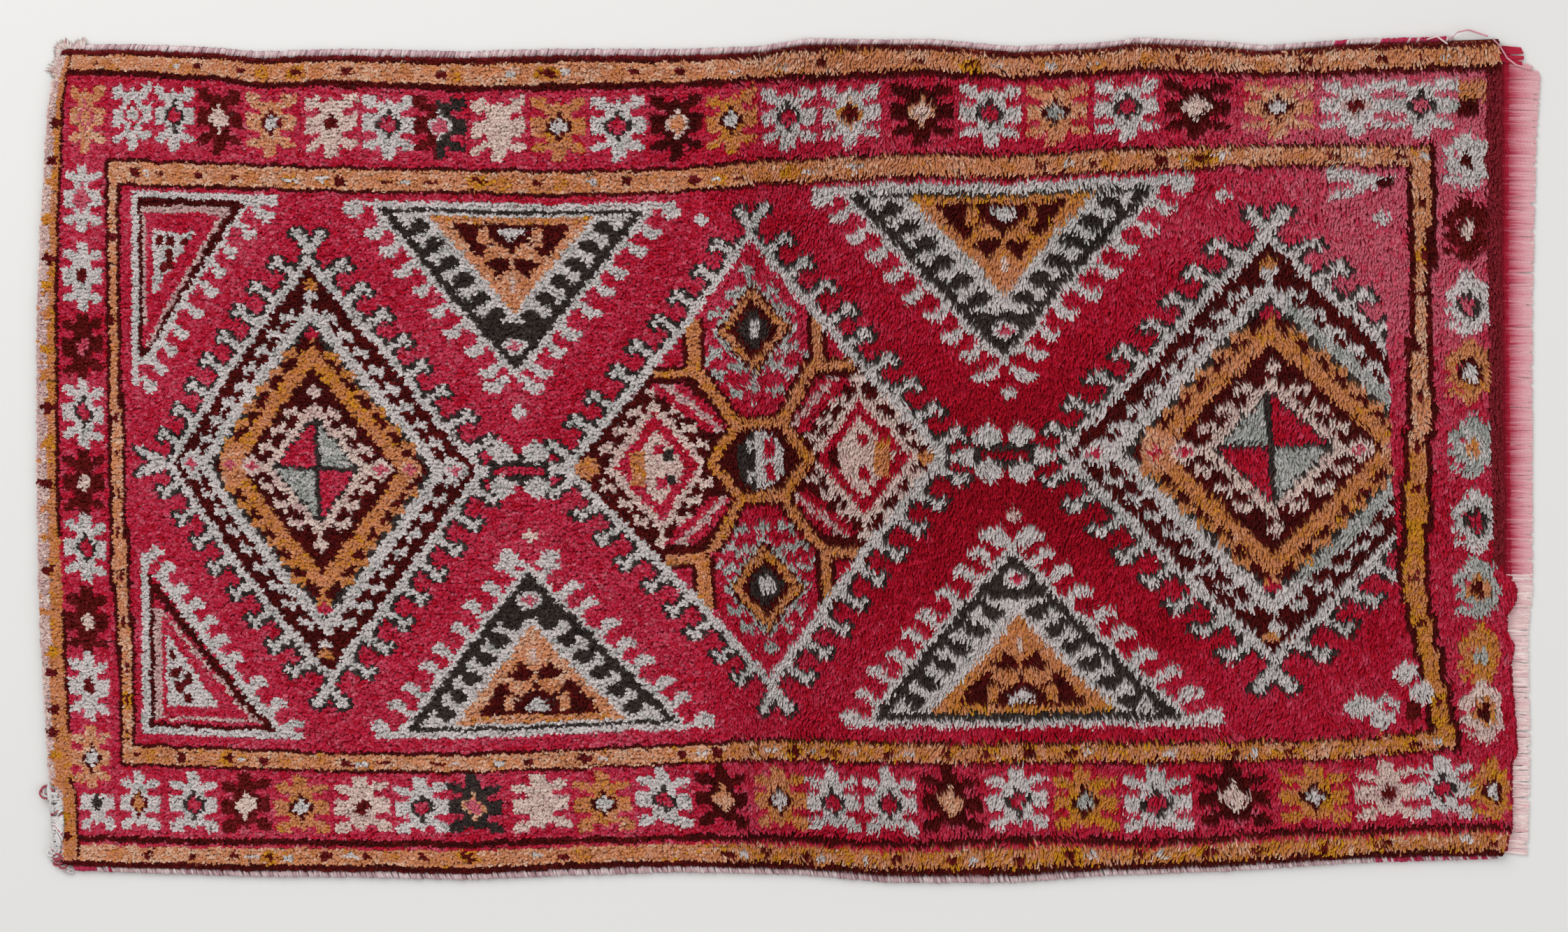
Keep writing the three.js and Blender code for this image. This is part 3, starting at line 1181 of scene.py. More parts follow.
FRAY_SHADES = ((0.0, "C58F92"), (0.5, "D6C0B8"), (1.0, "E4DAD2"))
MENDING_SHADES = ((0.0, "AC2F45"), (0.3, "CFC6C6"), (1.0, "E8E6E4"))
FLOOR_SHADE = "E8E7E5"
SKY_SHADE = "F2F2F2"


def linear(hexcode):
    """An sRGB hex colour as linear RGBA."""
    parts = [int(hexcode[i:i + 2], 16) / 255 for i in (0, 2, 4)]
    return [p / 12.92 if p <= 0.04045 else ((p + 0.055) / 1.055) ** 2.4 for p in parts] + [1.0]


def add_node(tree, kind, settings=None, inputs=None, stops=()):
    """A node with its settings. An input, by name or number, is a value or the socket that it is
    linked to; stops are a ramp's places and hex colours."""
    made = tree.nodes.new(kind)
    for name, value in (settings or {}).items():
        setattr(made, name, value)
    for key, value in (inputs or {}).items():
        if isinstance(value, bpy.types.NodeSocket):
            tree.links.new(value, made.inputs[key])
        else:
            made.inputs[key].default_value = value
    for index, (place, hexcode) in enumerate(stops):
        points = made.color_ramp.elements
        point = points[index] if index < 2 else points.new(place)
        point.position = place
        point.color = linear(hexcode)
    return made


def new_material(name):
    """An empty material and its shader."""
    material = bpy.data.materials.new(name)
    material.use_nodes = True
    return material, material.node_tree.nodes["Principled BSDF"]


# A colour Mix node that multiplies, with the numbers of its sockets
MULTIPLIED = {"data_type": "RGBA", "blend_type": "MULTIPLY"}
MIX_SHARE, MIX_FIRST, MIX_SECOND, MIX_RESULT = 0, 6, 7, 2
FIBRE_STREAKS = (160, 2.5, 1)  # across a strand and along it; coarser than fibres, so that they show


def wool(name, shades, root=0.88, streak=0.2):
    """Spun wool or cotton yarn: matt, with hardly any gloss. The strand map gives shade across and
    root to tip upwards; roots are darker, as light hardly reaches them, and faint streaks run along
    the fibres."""
    material, shader = new_material(name)
    tree = material.node_tree
    strand = add_node(tree, "ShaderNodeUVMap", {"uv_map": "OFBake"}).outputs["UV"]
    split = add_node(tree, "ShaderNodeSeparateXYZ", None, {"Vector": strand})
    ramp = add_node(tree, "ShaderNodeValToRGB", None, {"Fac": split.outputs["X"]}, shades)
    stretch = add_node(tree, "ShaderNodeMapping", None, {"Vector": strand, "Scale": FIBRE_STREAKS})
    fibres = add_node(
        tree, "ShaderNodeTexNoise", None,
        {"Vector": stretch.outputs["Vector"], "Scale": 1.0, "Detail": 1.0},
    )
    streaks = add_node(
        tree, "ShaderNodeMapRange", None,
        {"Value": fibres.outputs["Fac"], "From Min": 0.3, "From Max": 0.7,
         "To Min": 1 - streak, "To Max": 1 + streak},
    )
    light = add_node(
        tree, "ShaderNodeMapRange", {"interpolation_type": "SMOOTHSTEP"},
        {"Value": split.outputs["Y"], "From Min": 0.05, "From Max": 0.6, "To Min": root, "To Max": 1.0},
    )
    both = add_node(
        tree, "ShaderNodeMath", {"operation": "MULTIPLY"},
        {0: streaks.outputs["Result"], 1: light.outputs["Result"]},
    )
    colour = add_node(
        tree, "ShaderNodeMix", MULTIPLIED,
        {MIX_SHARE: 1.0, MIX_FIRST: ramp.outputs["Color"], MIX_SECOND: both.outputs["Value"]},
    )
    tree.links.new(colour.outputs[MIX_RESULT], shader.inputs["Base Color"])
    shader.inputs["Roughness"].default_value = 0.82
    shader.inputs["Specular IOR Level"].default_value = 0.12
    return material


def knotted_back(name):
    """Knotted wool ground: matt and flat, each knot a small block of its yarn's colour, with painted
    shade in the grooves where knots meet, standing for their relief."""
    material, shader = new_material(name)
    tree = material.node_tree
    knots = add_node(tree, "ShaderNodeUVMap", {"uv_map": "OFBake"})
    yarn = add_node(tree, "ShaderNodeVertexColor", {"layer_name": "Yarn"})
    # Painted shade: dark mortar lines where knots meet, in place of the grooves' relief
    groove_shade = add_node(
        tree, "ShaderNodeTexBrick", {"offset": 0.0, "squash": 1.0},
        {"Vector": knots.outputs["UV"], "Scale": 1.0, "Brick Width": 1 / ROWS, "Row Height": 1 / KNOTS,
         "Mortar Size": 0.16 / ROWS, "Mortar Smooth": 1.0, "Color1": linear("FFFFFF"),
         "Color2": linear("E6E2DE"), "Mortar": linear("8A8078")},
    )
    colour = add_node(
        tree, "ShaderNodeMix", MULTIPLIED,
        {MIX_SHARE: 1.0, MIX_FIRST: yarn.outputs["Color"], MIX_SECOND: groove_shade.outputs["Color"]},
    )
    tree.links.new(colour.outputs[MIX_RESULT], shader.inputs["Base Color"])
    shader.inputs["Roughness"].default_value = 0.9
    shader.inputs["Specular IOR Level"].default_value = 0.2
    return material


def add_object(name, data):
    """An object in the scene, at the origin."""
    made = bpy.data.objects.new(name, data)
    bpy.context.scene.collection.objects.link(made)
    return made


# Strands: every tuft, wrap and fringe is a closed strand planted from one template


def even_cuts(parts):
    """Cuts that part a strand evenly."""
    return np.linspace(0, 1, parts + 1)[1:-1]


def strand_template(sides, cuts, pointed=False):
    """A closed strand, one unit tall on the origin, with a ring of vertices at each cut."""
    grown = bmesh.new()
    bmesh.ops.create_cone(
        grown, cap_ends=True, segments=sides, radius1=1, radius2=0 if pointed else 1, depth=1
    )
    bmesh.ops.translate(grown, verts=grown.verts, vec=(0, 0, 0.5))
    for cut in cuts:
        everything = grown.verts[:] + grown.edges[:] + grown.faces[:]
        bmesh.ops.bisect_plane(grown, geom=everything, plane_co=(0, 0, cut), plane_no=(0, 0, 1))
    return template_of(grown)


TUFT_CORNERS = table("""
across  out    share
-0.87   -0.5   0
0.87    0.5    0
-0.5    0.87   1
0.5     -0.87  1
""")


def tuft_template():
    """A closed wedge with four faces, one unit tall: a tuft that narrows towards its cut end."""
    grown = bmesh.new()
    bmesh.ops.create_cone(grown, cap_ends=True, segments=3, radius1=1, radius2=0, depth=1)
    for vertex, corner in zip(grown.verts, TUFT_CORNERS):
        vertex.co = [corner[name] for name in ("across", "out", "share")]
    return template_of(grown)


def template_of(grown):
    """A strand's vertices, as a share of its length and a direction round it, and its faces."""
    bmesh.ops.recalc_face_normals(grown, faces=grown.faces)
    grown.verts.index_update()
    places = np.array([v.co[:] for v in grown.verts])
    reach = np.maximum(np.hypot(places[:, 0], places[:, 1]), 1e-6)
    tip = reach < 1e-4
    across = np.where(tip, 0, places[:, 0] / reach)
    out = np.where(tip, 0, places[:, 1] / reach)
    faces = [[v.index for v in face.verts] for face in grown.faces]
    grown.free()
    return {"share": places[:, 2], "across": across, "out": out, "faces": faces}


# In the strand map
SIDE_SHADE = 0.012  # how far the shades of a strand's two sides differ from its own
MAP_EDGE = 0.004  # values keep this far from the map's edge


def unit(vectors):
    return vectors / np.maximum(np.linalg.norm(vectors, axis=-1, keepdims=True), 1e-9)


def plant(name, template, course, side, width, depth, tone, material, swell=None, fade=0.0, smooth=True):
    """One mesh of many strands, in millimetres. course gives every strand's line at a share of its
    length; width and depth are half sizes across and out of it, for all strands or each; tone is the
    shade of each strand, and fade what it gains from root to tip."""
    count = len(tone)
    side = np.broadcast_to(side, (count, 3))
    width, depth = (np.broadcast_to(size, count) for size in (width, depth))
    vertices = len(template["share"])
    places = np.zeros((count, vertices, 3))
    for share in np.unique(np.round(template["share"], 4)):
        here = course(share)
        run = unit(course(share + 0.02) - course(share - 0.02))
        outward = unit(np.cross(side, run))
        grown = 1.0 if swell is None else swell(share)
        for index in np.flatnonzero(np.abs(template["share"] - share) < 1e-3):
            across = (template["across"][index] * width * grown)[:, None]
            out = (template["out"][index] * depth * grown)[:, None]
            places[:, index] = here + side * across + outward * out
    starts = np.cumsum([0] + [len(face) for face in template["faces"]])
    loops = np.concatenate([np.array(face) for face in template["faces"]])
    mesh = bpy.data.meshes.new(name)
    mesh.vertices.add(count * vertices)
    mesh.vertices.foreach_set("co", (places * MM).astype(np.float32).ravel())
    mesh.loops.add(count * len(loops))
    shift = np.arange(count)[:, None]
    mesh.loops.foreach_set("vertex_index", (loops[None] + shift * vertices).ravel().astype(np.int32))
    mesh.polygons.add(count * len(template["faces"]))
    mesh.polygons.foreach_set("loop_start", (starts[:-1] + shift * len(loops)).ravel().astype(np.int32))
    mesh.polygons.foreach_set("use_smooth", np.full(count * len(template["faces"]), smooth))
    mesh.update(calc_edges=True)
    layer = mesh.uv_layers.new(name="OFBake")
    rise = template["share"][loops]
    shades = tone[:, None] + SIDE_SHADE * template["across"][loops] + fade * rise
    maps = np.stack([shades, np.broadcast_to(rise, shades.shape)], -1)
    maps = np.clip(maps, MAP_EDGE, 1 - MAP_EDGE)
    layer.data.foreach_set("uv", maps.astype(np.float32).ravel())
    mesh.materials.append(material)
    return add_object(name, mesh)


# How the pile lies, at places along the rug in millimetres

CREASE_X = -58
LIE_CHANGES = CREASE_X - 8
SLANT_LENGTH = 12 - CREASE_X  # right of the change the pile slants more and more over this length
FULL_FROM, FULL_LENGTH = CREASE_X - 12, 45  # the worn pile grows to the full one over this length
LEFT_TURN = math.pi  # on the left it leans towards the left end
SLANT_TURN = math.radians(-48)
RIGHT_TURN = math.radians(-90)  # on the right it lies towards the front
LEFT_STRAY, RIGHT_STRAY = 0.6, 0.26  # spread of the lean's angle, in radians
LOOSE_SHARE, LOOSE_STRAY = 0.35, 2.2  # worn strands that lie any way


def lie_of(x, rng):
    """Share of the full pile, and the angle of its lean in the plan, at places along the rug."""
    count = len(x)
    full = eased(np.clip((x - FULL_FROM) / FULL_LENGTH, 0, 1))
    slant = eased(np.clip((x - LIE_CHANGES) / SLANT_LENGTH, 0, 1))
    right = SLANT_TURN + (RIGHT_TURN - SLANT_TURN) * slant
    loose = rng.random(count) < LOOSE_SHARE
    left = LEFT_TURN + rng.normal(0, LEFT_STRAY, count)
    left = left + loose * rng.uniform(-LOOSE_STRAY, LOOSE_STRAY, count)
    angle = np.where(x < LIE_CHANGES, left, right + rng.normal(0, RIGHT_STRAY, count))
    return full, angle


def drift(rng, size):
    """A value for every knot that wanders smoothly over about so many knots, around zero."""
    coarse = rng.normal(0, 1, (int(ROWS / size) + 3, int(KNOTS / size) + 3))
    row, knot = np.arange(ROWS) / size, np.arange(KNOTS) / size
    rows, knots = row.astype(int), knot.astype(int)
    across, down = eased((row - rows)[:, None]), eased((knot - knots)[None])
    low = coarse[rows][:, knots] * (1 - down) + coarse[rows][:, knots + 1] * down
    high = coarse[rows + 1][:, knots] * (1 - down) + coarse[rows + 1][:, knots + 1] * down
    return low * (1 - across) + high * across


# The field's deep spot, and where its crimson turns dusty, in millimetres
DEEP_SPOT = {"x": 175, "y": -30, "long": 190, "wide": 170}
DUSTY = {"x": 300, "y": 20, "long": 150, "wide": 160}


def crimson_shade(x, y):
    """The field's crimson: deep in the middle right, rosier towards the left and the edges."""
    (deep_x, deep_y), (dusty_x, dusty_y) = (
        ((x - spot["x"]) / spot["long"], (y - spot["y"]) / spot["wide"])
        for spot in (DEEP_SPOT, DUSTY)
    )
    deep = np.exp(-(deep_x ** 2) - deep_y ** 2)
    dusty = np.clip(dusty_x, 0, 1) * np.clip(dusty_y, -0.15, 1)
    return 0.6 - 0.52 * deep + 0.42 * dusty


def place_on(slotted, name, *nodes):
    """A finished piece rides on the rug's root body, and the parts of model.glb that it replaces are
    hidden.
    """
    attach(slotted, "root")
    if nodes:
        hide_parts(*nodes)
    return slotted


class PileSettings(bpy.types.PropertyGroup):
    """Sizes of the pile."""

    worn_height: bpy.props.FloatProperty(
        name="Worn height", description="Pile over the ground on the left half",
        default=3.7 * MM, min=0.001, max=0.02, unit="LENGTH",
    )
    full_height: bpy.props.FloatProperty(
        name="Full height", description="Pile over the ground on the right half",
        default=5.2 * MM, min=0.001, max=0.02, unit="LENGTH",
    )
    worn_lean: bpy.props.FloatProperty(
        name="Worn lean", description="How far a tuft reaches sideways on the left half",
        default=3.4 * MM, min=0.0, max=0.02, unit="LENGTH",
    )
    full_lean: bpy.props.FloatProperty(
        name="Full lean", description="How far a tuft reaches sideways on the right half",
        default=7.6 * MM, min=0.0, max=0.02, unit="LENGTH",
    )
    ground: bpy.props.FloatProperty(
        name="Ground", description="Thickness of the woven ground",
        default=3.0 * MM, min=0.001, max=0.02, unit="LENGTH",
    )


class EdgeSettings(bpy.types.PropertyGroup):
    """Sizes of the bindings and the fringe."""

    wrap_pitch: bpy.props.FloatProperty(
        name="Wrap pitch", description="From one wrap of the overcast binding to the next",
        default=2.2 * MM, min=0.001, max=0.02, unit="LENGTH",
    )
    fringe_pitch: bpy.props.FloatProperty(
        name="Fringe pitch", description="From one strand of the fringe to the next",
        default=0.66 * MM, min=0.0005, max=0.02, unit="LENGTH",
    )


class StageSettings(bpy.types.PropertyGroup):
    """The light and the camera."""

    soft_light: bpy.props.FloatProperty(
        name="Soft light", description="Power of the big soft light over the rug",
        default=50.5, min=0.0, max=500.0, unit="POWER",
    )
    sky_light: bpy.props.FloatProperty(
        name="Sky light", description="Strength of the even light from all round",
        default=0.505, min=0.0, max=10.0,
    )
    camera_height: bpy.props.FloatProperty(
        name="Camera height", description="Height of the camera over the floor",
        default=2.8, min=0.5, max=10.0, unit="LENGTH",
    )
    frame_width: bpy.props.FloatProperty(
        name="Frame width", description="Width of the floor across the picture",
        default=1.1805, min=0.1, max=10.0, unit="LENGTH",
    )
    floor_colour: bpy.props.FloatVectorProperty(
        name="Floor", description="Colour of the floor", subtype="COLOR", size=4,
        default=linear(FLOOR_SHADE), min=0.0, max=1.0,
    )


# Hand-spun wool, plant dyed and cut by hand: matt, with shades that wander from knot to knot
PILE_MATERIALS = {
    "crimson": "Crimson wool pile",
    "ivory": "Ivory wool pile",
    "pink": "Rose ivory wool pile",
    "apricot": "Apricot wool pile",
    "brown": "Madder brown wool pile",
    "charcoal": "Charcoal wool pile",
}
STRANDS = 3  # of each knot that show
STRAND_SPREAD = 0.62  # rows from a knot's first strand to its last
PILE_TRIANGLES = 190000  # most of one piece
STRAY_ROWS, STRAY_KNOTS = 0.12, 0.3  # of single strands
DRIFT_ROWS, DRIFT_KNOTS = 0.2, 0.28  # of neighbours together
# Strand shades differ at random, and the palest of them also stand for painted glints
KNOT_SHADES, STRAND_SHADES = 0.13, 0.1  # spread of shades
FORWARD = 0.3  # share of a strand's lean that is in front of its knot
RIM_WIDTH, RIM_DROP = 7, 1.5  # millimetres over which the rim rounds off, and by how much
STRAND_WIDTH, FULL_NARROWER = 1.7, 0.75  # half width of a worn strand, and what a full one lacks
STRAND_DEPTH = 0.6
ROOT_INSET, TIP_OUTSET = 1.4, 0.6  # of strands at the edges, in millimetres


def pile_pieces(settings):
    """The planted tufts: each knot has strands side by side, one piece or more for each yarn."""
    rng = np.random.default_rng(SEED + 1)
    chart = knot_chart()
    row, knot, yarn = (
        np.repeat(values.ravel(), STRANDS) for values in (chart.row, chart.knot, chart.yarn)
    )
    shade = chart.shade.ravel() + rng.normal(0, KNOT_SHADES, ROWS * KNOTS)
    shade = np.repeat(shade, STRANDS)
    count = len(row)
    # What neighbours share: shift in rows and knots, lean, painted light and shade, and height
    shift_rows, shift_knots, swirl, relief_light, bulk = (
        np.repeat(drift(rng, size).ravel(), STRANDS) for size in (2.5, 2.5, 4, 14, 3)
    )
    place = np.tile(np.arange(STRANDS), count // STRANDS) / (STRANDS - 1) - 0.5
    row = row + STRAND_SPREAD * place + rng.normal(0, STRAY_ROWS, count)
    knot = knot + rng.normal(0, STRAY_KNOTS, count)
    row, knot = row + DRIFT_ROWS * shift_rows, knot + DRIFT_KNOTS * shift_knots
    x, y = plan(np.clip(row, 0.1, ROWS - 0.1), np.clip(knot, 0.1, KNOTS - 0.1))
    full, angle = lie_of(x, rng)
    y = y + full * rng.normal(0, 0.9, count)
    angle = angle + (0.35 - 0.1 * full) * swirl
    # How far strands lean and how high they stand
    lean = settings.worn_lean + (settings.full_lean - settings.worn_lean) * full
    lean = lean * (0.75 + 0.25 * np.clip((x - 20) / 150, 1 - full, 1))
    lean = lean / MM * rng.uniform(0.7, 1.3, count)
    height = settings.worn_height + (settings.full_height - settings.worn_height) * full
    height = height / MM * rng.uniform(0.84 - 0.05 * full, 1.02) * (1 + 0.05 * bulk)
    back, front = (along(LONG_LINES, "x", name, x) for name in ("back", "front"))
    left, right = along(LEFT_END, "y", "x", y), along(RIGHT_END, "y", "x", y)
    rim = np.min([back - y, y - front, x - left, right - x], axis=0)
    height = height - RIM_DROP * np.clip(1 - rim / RIM_WIDTH, 0, 1) ** 2
    way = np.stack([np.cos(angle), np.sin(angle)], -1)
    tip = np.stack([x, y], -1) + way * (FORWARD * lean[:, None])
    root = tip - way * lean[:, None]
    tip[:, 1] = np.maximum(tip[:, 1], front - TIP_OUTSET)
    root[:, 0] = np.clip(root[:, 0], left + ROOT_INSET, right - ROOT_INSET)
    root[:, 1] = np.clip(root[:, 1], front + ROOT_INSET, back - ROOT_INSET)
    ground = settings.ground / MM
    height = height + ground
    width = (STRAND_WIDTH - FULL_NARROWER * full) * rng.uniform(0.7, 1.3, count)
    thick = STRAND_DEPTH * rng.uniform(0.8, 1.2, count)
    # Strands grow paler or deeper over about fourteen knots: painted light and shade of gentle ripples
    tone = shade + rng.normal(0, STRAND_SHADES, count) * (1 - 0.4 * full) + 0.07 * relief_light
    tone = np.where(yarn == CRIMSON, tone - LETTERS["r"][1] + crimson_shade(x, y), tone)
    tone = np.where(yarn == APRICOT, tone + 0.1 * bulk, tone)
    template = tuft_template()
    made = []
    for index, name in enumerate(YARN_NAMES):
        material = wool(PILE_MATERIALS[name], WOOLS[name])
        members = np.flatnonzero(yarn == index)
        parts = math.ceil(len(members) * len(template["faces"]) / PILE_TRIANGLES)
        for part, which in enumerate(np.array_split(members, parts)):
            base, end, up = root[which], tip[which], height[which]

            def course(share, base=base, end=end, up=up):
                rise = ground + (up - ground) * share
                return np.concatenate([base + (end - base) * share, rise[:, None]], 1)

            along_floor = unit(np.concatenate([end - base, np.zeros((len(base), 1))], 1))
            piece = plant(
                f"pile_{name}_{part + 1}", template, course, np.cross(along_floor, (0, 0, 1)),
                width[which], thick[which], np.clip(tone[which], 0.01, 0.99), material, smooth=False,
            )
            nodes = ("rug_body",) if index == CRIMSON else ()
            made.append(place_on(piece, "pile_" + name, *nodes))
    return made, chart


GROUND_CELL = (2, 3)  # rows and knots of one face of the ground
SHADE_STEPS = 32  # of each yarn on the ground


def ground_piece(settings, chart):
    """The woven ground, as a flat sheet with the knots' wool on its back."""
    thickness = settings.ground
    sheet = bmesh.new()
    columns, lines = ROWS // GROUND_CELL[0], KNOTS // GROUND_CELL[1]
    bmesh.ops.create_grid(sheet, x_segments=columns, y_segments=lines, size=0.5)
    layer = sheet.loops.layers.uv.new("OFBake")
    for face in sheet.faces:
        for loop in face.loops:
            loop[layer].uv = (loop.vert.co.x + 0.5, loop.vert.co.y + 0.5)
    bmesh.ops.solidify(sheet, geom=sheet.faces[:], thickness=thickness)
    bmesh.ops.recalc_face_normals(sheet, faces=sheet.faces)
    mesh = bpy.data.meshes.new("ground_weave")
    sheet.to_mesh(mesh)
    sheet.free()
    places = np.zeros(len(mesh.vertices) * 3)
    mesh.vertices.foreach_get("co", places)
    places = places.reshape(-1, 3)
    row = np.clip((places[:, 0] + 0.5) * ROWS, 0, ROWS)
    knot = np.clip((0.5 - places[:, 1]) * KNOTS, 0, KNOTS)
    x, y = plan(row, knot)
    top = places[:, 2] > places[:, 2].mean()
    places = np.stack([x * MM, y * MM, np.where(top, thickness, 0)], -1)
    mesh.vertices.foreach_set("co", places.astype(np.float32).ravel())
    # The yarn's colour at each corner of each face
    corners = len(mesh.loops)
    maps = np.zeros(corners * 2)
    mesh.uv_layers["OFBake"].data.foreach_get("uv", maps)
    maps = maps.reshape(-1, 2)
    starts = np.zeros(len(mesh.polygons), np.int32)
    mesh.polygons.foreach_get("loop_start", starts)
    sides = np.diff(np.append(starts, corners))
    middle = np.repeat(np.add.reduceat(maps, starts, axis=0) / sides[:, None], sides, axis=0)
    inner = middle + (maps - middle) * 0.5
    rows = np.clip((inner[:, 0] * ROWS).astype(int), 0, ROWS - 1)
    knots = np.clip(((1 - inner[:, 1]) * KNOTS).astype(int), 0, KNOTS - 1)
    shades = np.linspace(0, 1, SHADE_STEPS + 1)
    palette = np.zeros((len(YARN_NAMES), len(shades), 3))
    for index, name in enumerate(YARN_NAMES):
        stops = WOOLS[name]
        for channel in range(3):
            levels = [linear(hexcode)[channel] for _, hexcode in stops]
            palette[index, :, channel] = np.interp(shades, [place for place, _ in stops], levels)
    steps = np.round(chart.shade * SHADE_STEPS).astype(int)
    tint = palette[chart.yarn[rows, knots], steps[rows, knots]]
    layer = mesh.color_attributes.new(name="Yarn", type="FLOAT_COLOR", domain="CORNER")
    colours = np.concatenate([tint, np.ones((corners, 1))], 1).astype(np.float32)
    layer.data.foreach_set("color", colours.ravel())
    mesh.materials.append(knotted_back("Knotted wool ground"))
    mesh.update()
    return place_on(add_object("ground_weave", mesh), "ground_weave", "rug_body")


# Directions that strands are wide in
ACROSS, ALONG, UPRIGHT = np.eye(3)

# Overcast binding of the long sides

BINDING_WIDTHS = table("""
x     back  front
-546  6.0   5.5
-399  7.2   6.0
-241  7.4   6.4
-83   7.0   6.8
-20   6.0   7.0
75    4.2   7.8
106   4.8   8.4
170   5.4   8.2
233   5.0   6.4
359   4.8   5.8
485   4.2   5.6
540   3.0   3.2
""")
BINDINGS = table("""
side   from  to   toward  height  seed
back   -540  500  1       5       2
front  -538  534  -1      5       3
""")
RED_BINDING = table("""
side   from  to    share
front  -536  -519  1
front  -519  -505  0.3
front  440   534   0.6
back   412   419   1
back   446   500   0.85
""")
WRAP_LINE = table("""
share  out    up
0      -0.1   0.50
0.25   0.22   0.74
0.5    0.50   0.78
0.75   0.80   0.52
1      0.70   0.26
""")
WRAP_INSET = 1.8  # millimetres from the binding's ends to its first and last wrap


def binding_piece(side, settings):
    """One side's wraps, each bent over the edge cord."""
    rng = np.random.default_rng(SEED + int(side["seed"]))
    pitch = settings.wrap_pitch / MM
    x = np.arange(side["from"] + WRAP_INSET, side["to"] - WRAP_INSET, pitch)
    x = x + rng.normal(0, 0.35, len(x))
    edge = along(LONG_LINES, "x", side["side"], x)
    reach = along(BINDING_WIDTHS, "x", side["side"], x)
    reach = reach * rng.uniform(0.86, 1.04, len(x))
    slant = rng.uniform(1.4, 3.8, len(x))
    height = side["height"] * rng.uniform(0.84, 1.04, len(x))

    def course(share):
        out = along(WRAP_LINE, "share", "out", share)
        up = along(WRAP_LINE, "share", "up", share)
        y = edge + side["toward"] * reach * out
        return np.stack([x + slant * (share - 0.5), y, height * up], -1)

    tone = np.clip(0.45 + 0.1 * np.sin(x / 13) + rng.normal(0, 0.24, len(x)), 0.01, 0.8)
    for stretch in RED_BINDING:
        if stretch["side"] == side["side"]:
            red = (x > stretch["from"]) & (x < stretch["to"])
            red &= rng.random(len(x)) < stretch["share"]
            tone = np.where(red, rng.uniform(0.9, 0.99, len(x)), tone)
    width, depth = pitch * rng.uniform(0.5, 0.8, len(x)), rng.uniform(0.8, 1.3, len(x))
    # Thick soft yarn wound side by side: matt, with painted shade on the inner half of each wrap
    name = "Overcast binding wool"
    material = bpy.data.materials.get(name) or wool(name, BINDING_SHADES, 0.75)
    piece = plant(
        "binding_wraps_" + side["side"], strand_template(5, (0.3, 0.6)), course,
        ACROSS, width, depth, tone, material,
    )
    return place_on(piece, "binding_wool", "binding_" + side["side"])


# Right end, by places across the rug in millimetres
FRINGE_FRONT, FRINGE_BACK = -295, 311
TUFTS_FROM = 299  # behind this are short red tufts
BUNDLES_FROM = -86  # from here to the front the fringe stands in bundles
BUNDLE_PITCH = 4.2
STRAND_START = 1.2  # millimetres that a strand starts under the pile
SHORTEST = 7
WEFTS = 3
WEFT_START, WEFT_PITCH = 0.4, 2.1


def fringe_pieces(settings):
    """The short fringe of the right end, and the red weft cords between it and the pile."""
    rng = np.random.default_rng(SEED + 4)
    y = np.arange(FRINGE_FRONT, FRINGE_BACK, settings.fringe_pitch / MM)
    count = len(y)
    y = y + rng.normal(0, 0.3, count)
    # In the front part the strands stand in small bundles
    bundle = np.round(y / BUNDLE_PITCH) * BUNDLE_PITCH
    gathered = np.clip((BUNDLES_FROM - y) / 20, 0, 0.62)
    woven = 1 - np.clip((BUNDLES_FROM - y) / 14, 0, 1)
    start = along(RIGHT_END, "y", "x", y) + rng.uniform(0, 4, count) * woven
    reach = along(RIGHT_END, "y", "tip", y)
    end = np.maximum(reach - rng.uniform(0, 1, count) ** 3 * 5, start + SHORTEST)
    bend = rng.normal(0, 1.1, count) - 0.5 + gathered * (bundle - y)
    height = rng.uniform(1.3, 2.5, count)

    def course(share):
        x = start - STRAND_START + (end - start + STRAND_START) * share
        fall = height * (1 - 0.4 * share) + 0.5 * (1 - share)
        return np.stack([x, y + bend * max(share, 0) ** 1.3, fall], -1)

    parts = [y > TUFTS_FROM, y > BUNDLES_FROM]
    tone = np.select(parts, [0.07, 0.02], 0.86)
    tone = tone + rng.normal(0, 0.06, count) * (y < TUFTS_FROM)
    fade = np.select(parts, [0.04, 0.78], 0.1)
    height = height + 2 * (y > TUFTS_FROM)
    # Cut warp ends: dyed red near the pile and faded pink outside, soft and matt
    material = wool("Fringe wool", FRINGE_SHADES, 0.8)
    strands = plant(
        "fringe_strands", strand_template(4, (0.35, 0.7)), course, ALONG, 0.8, 0.4, tone, material,
        lambda share: 0.8 + 0.5 * share, fade=fade[:, None], smooth=False,
    )
    # Weft cords along the end, bunched under the pile in the front part
    number = np.arange(WEFTS)
    out = WEFT_START + WEFT_PITCH * number

    def line(share):
        place = np.full(WEFTS, 1 + FRINGE_FRONT + (FRINGE_BACK - FRINGE_FRONT - 1) * share)
        spread = 1 - 0.8 * np.clip((BUNDLES_FROM - place) / 14, 0, 1)
        spread = spread + 0.4 * np.clip((place - TUFTS_FROM + 2) / 3, 0, 1)
        ripple = 0.25 * np.sin(place / 3.1 + out * 2)
        x = along(RIGHT_END, "y", "x", place) + out * spread + ripple
        return np.stack([x, place, 2.5 - 0.08 * out + 0.15 * np.cos(place / 2.3 + out)], -1)

    cords = plant(
        "fringe_weft", strand_template(5, even_cuts(160)), line, ACROSS, 1.3, 0.9,
        0.01 + 0.02 * number, material,
    )
    return [place_on(piece, "fringe_wool", "fringe_comb") for piece in (strands, cords)]


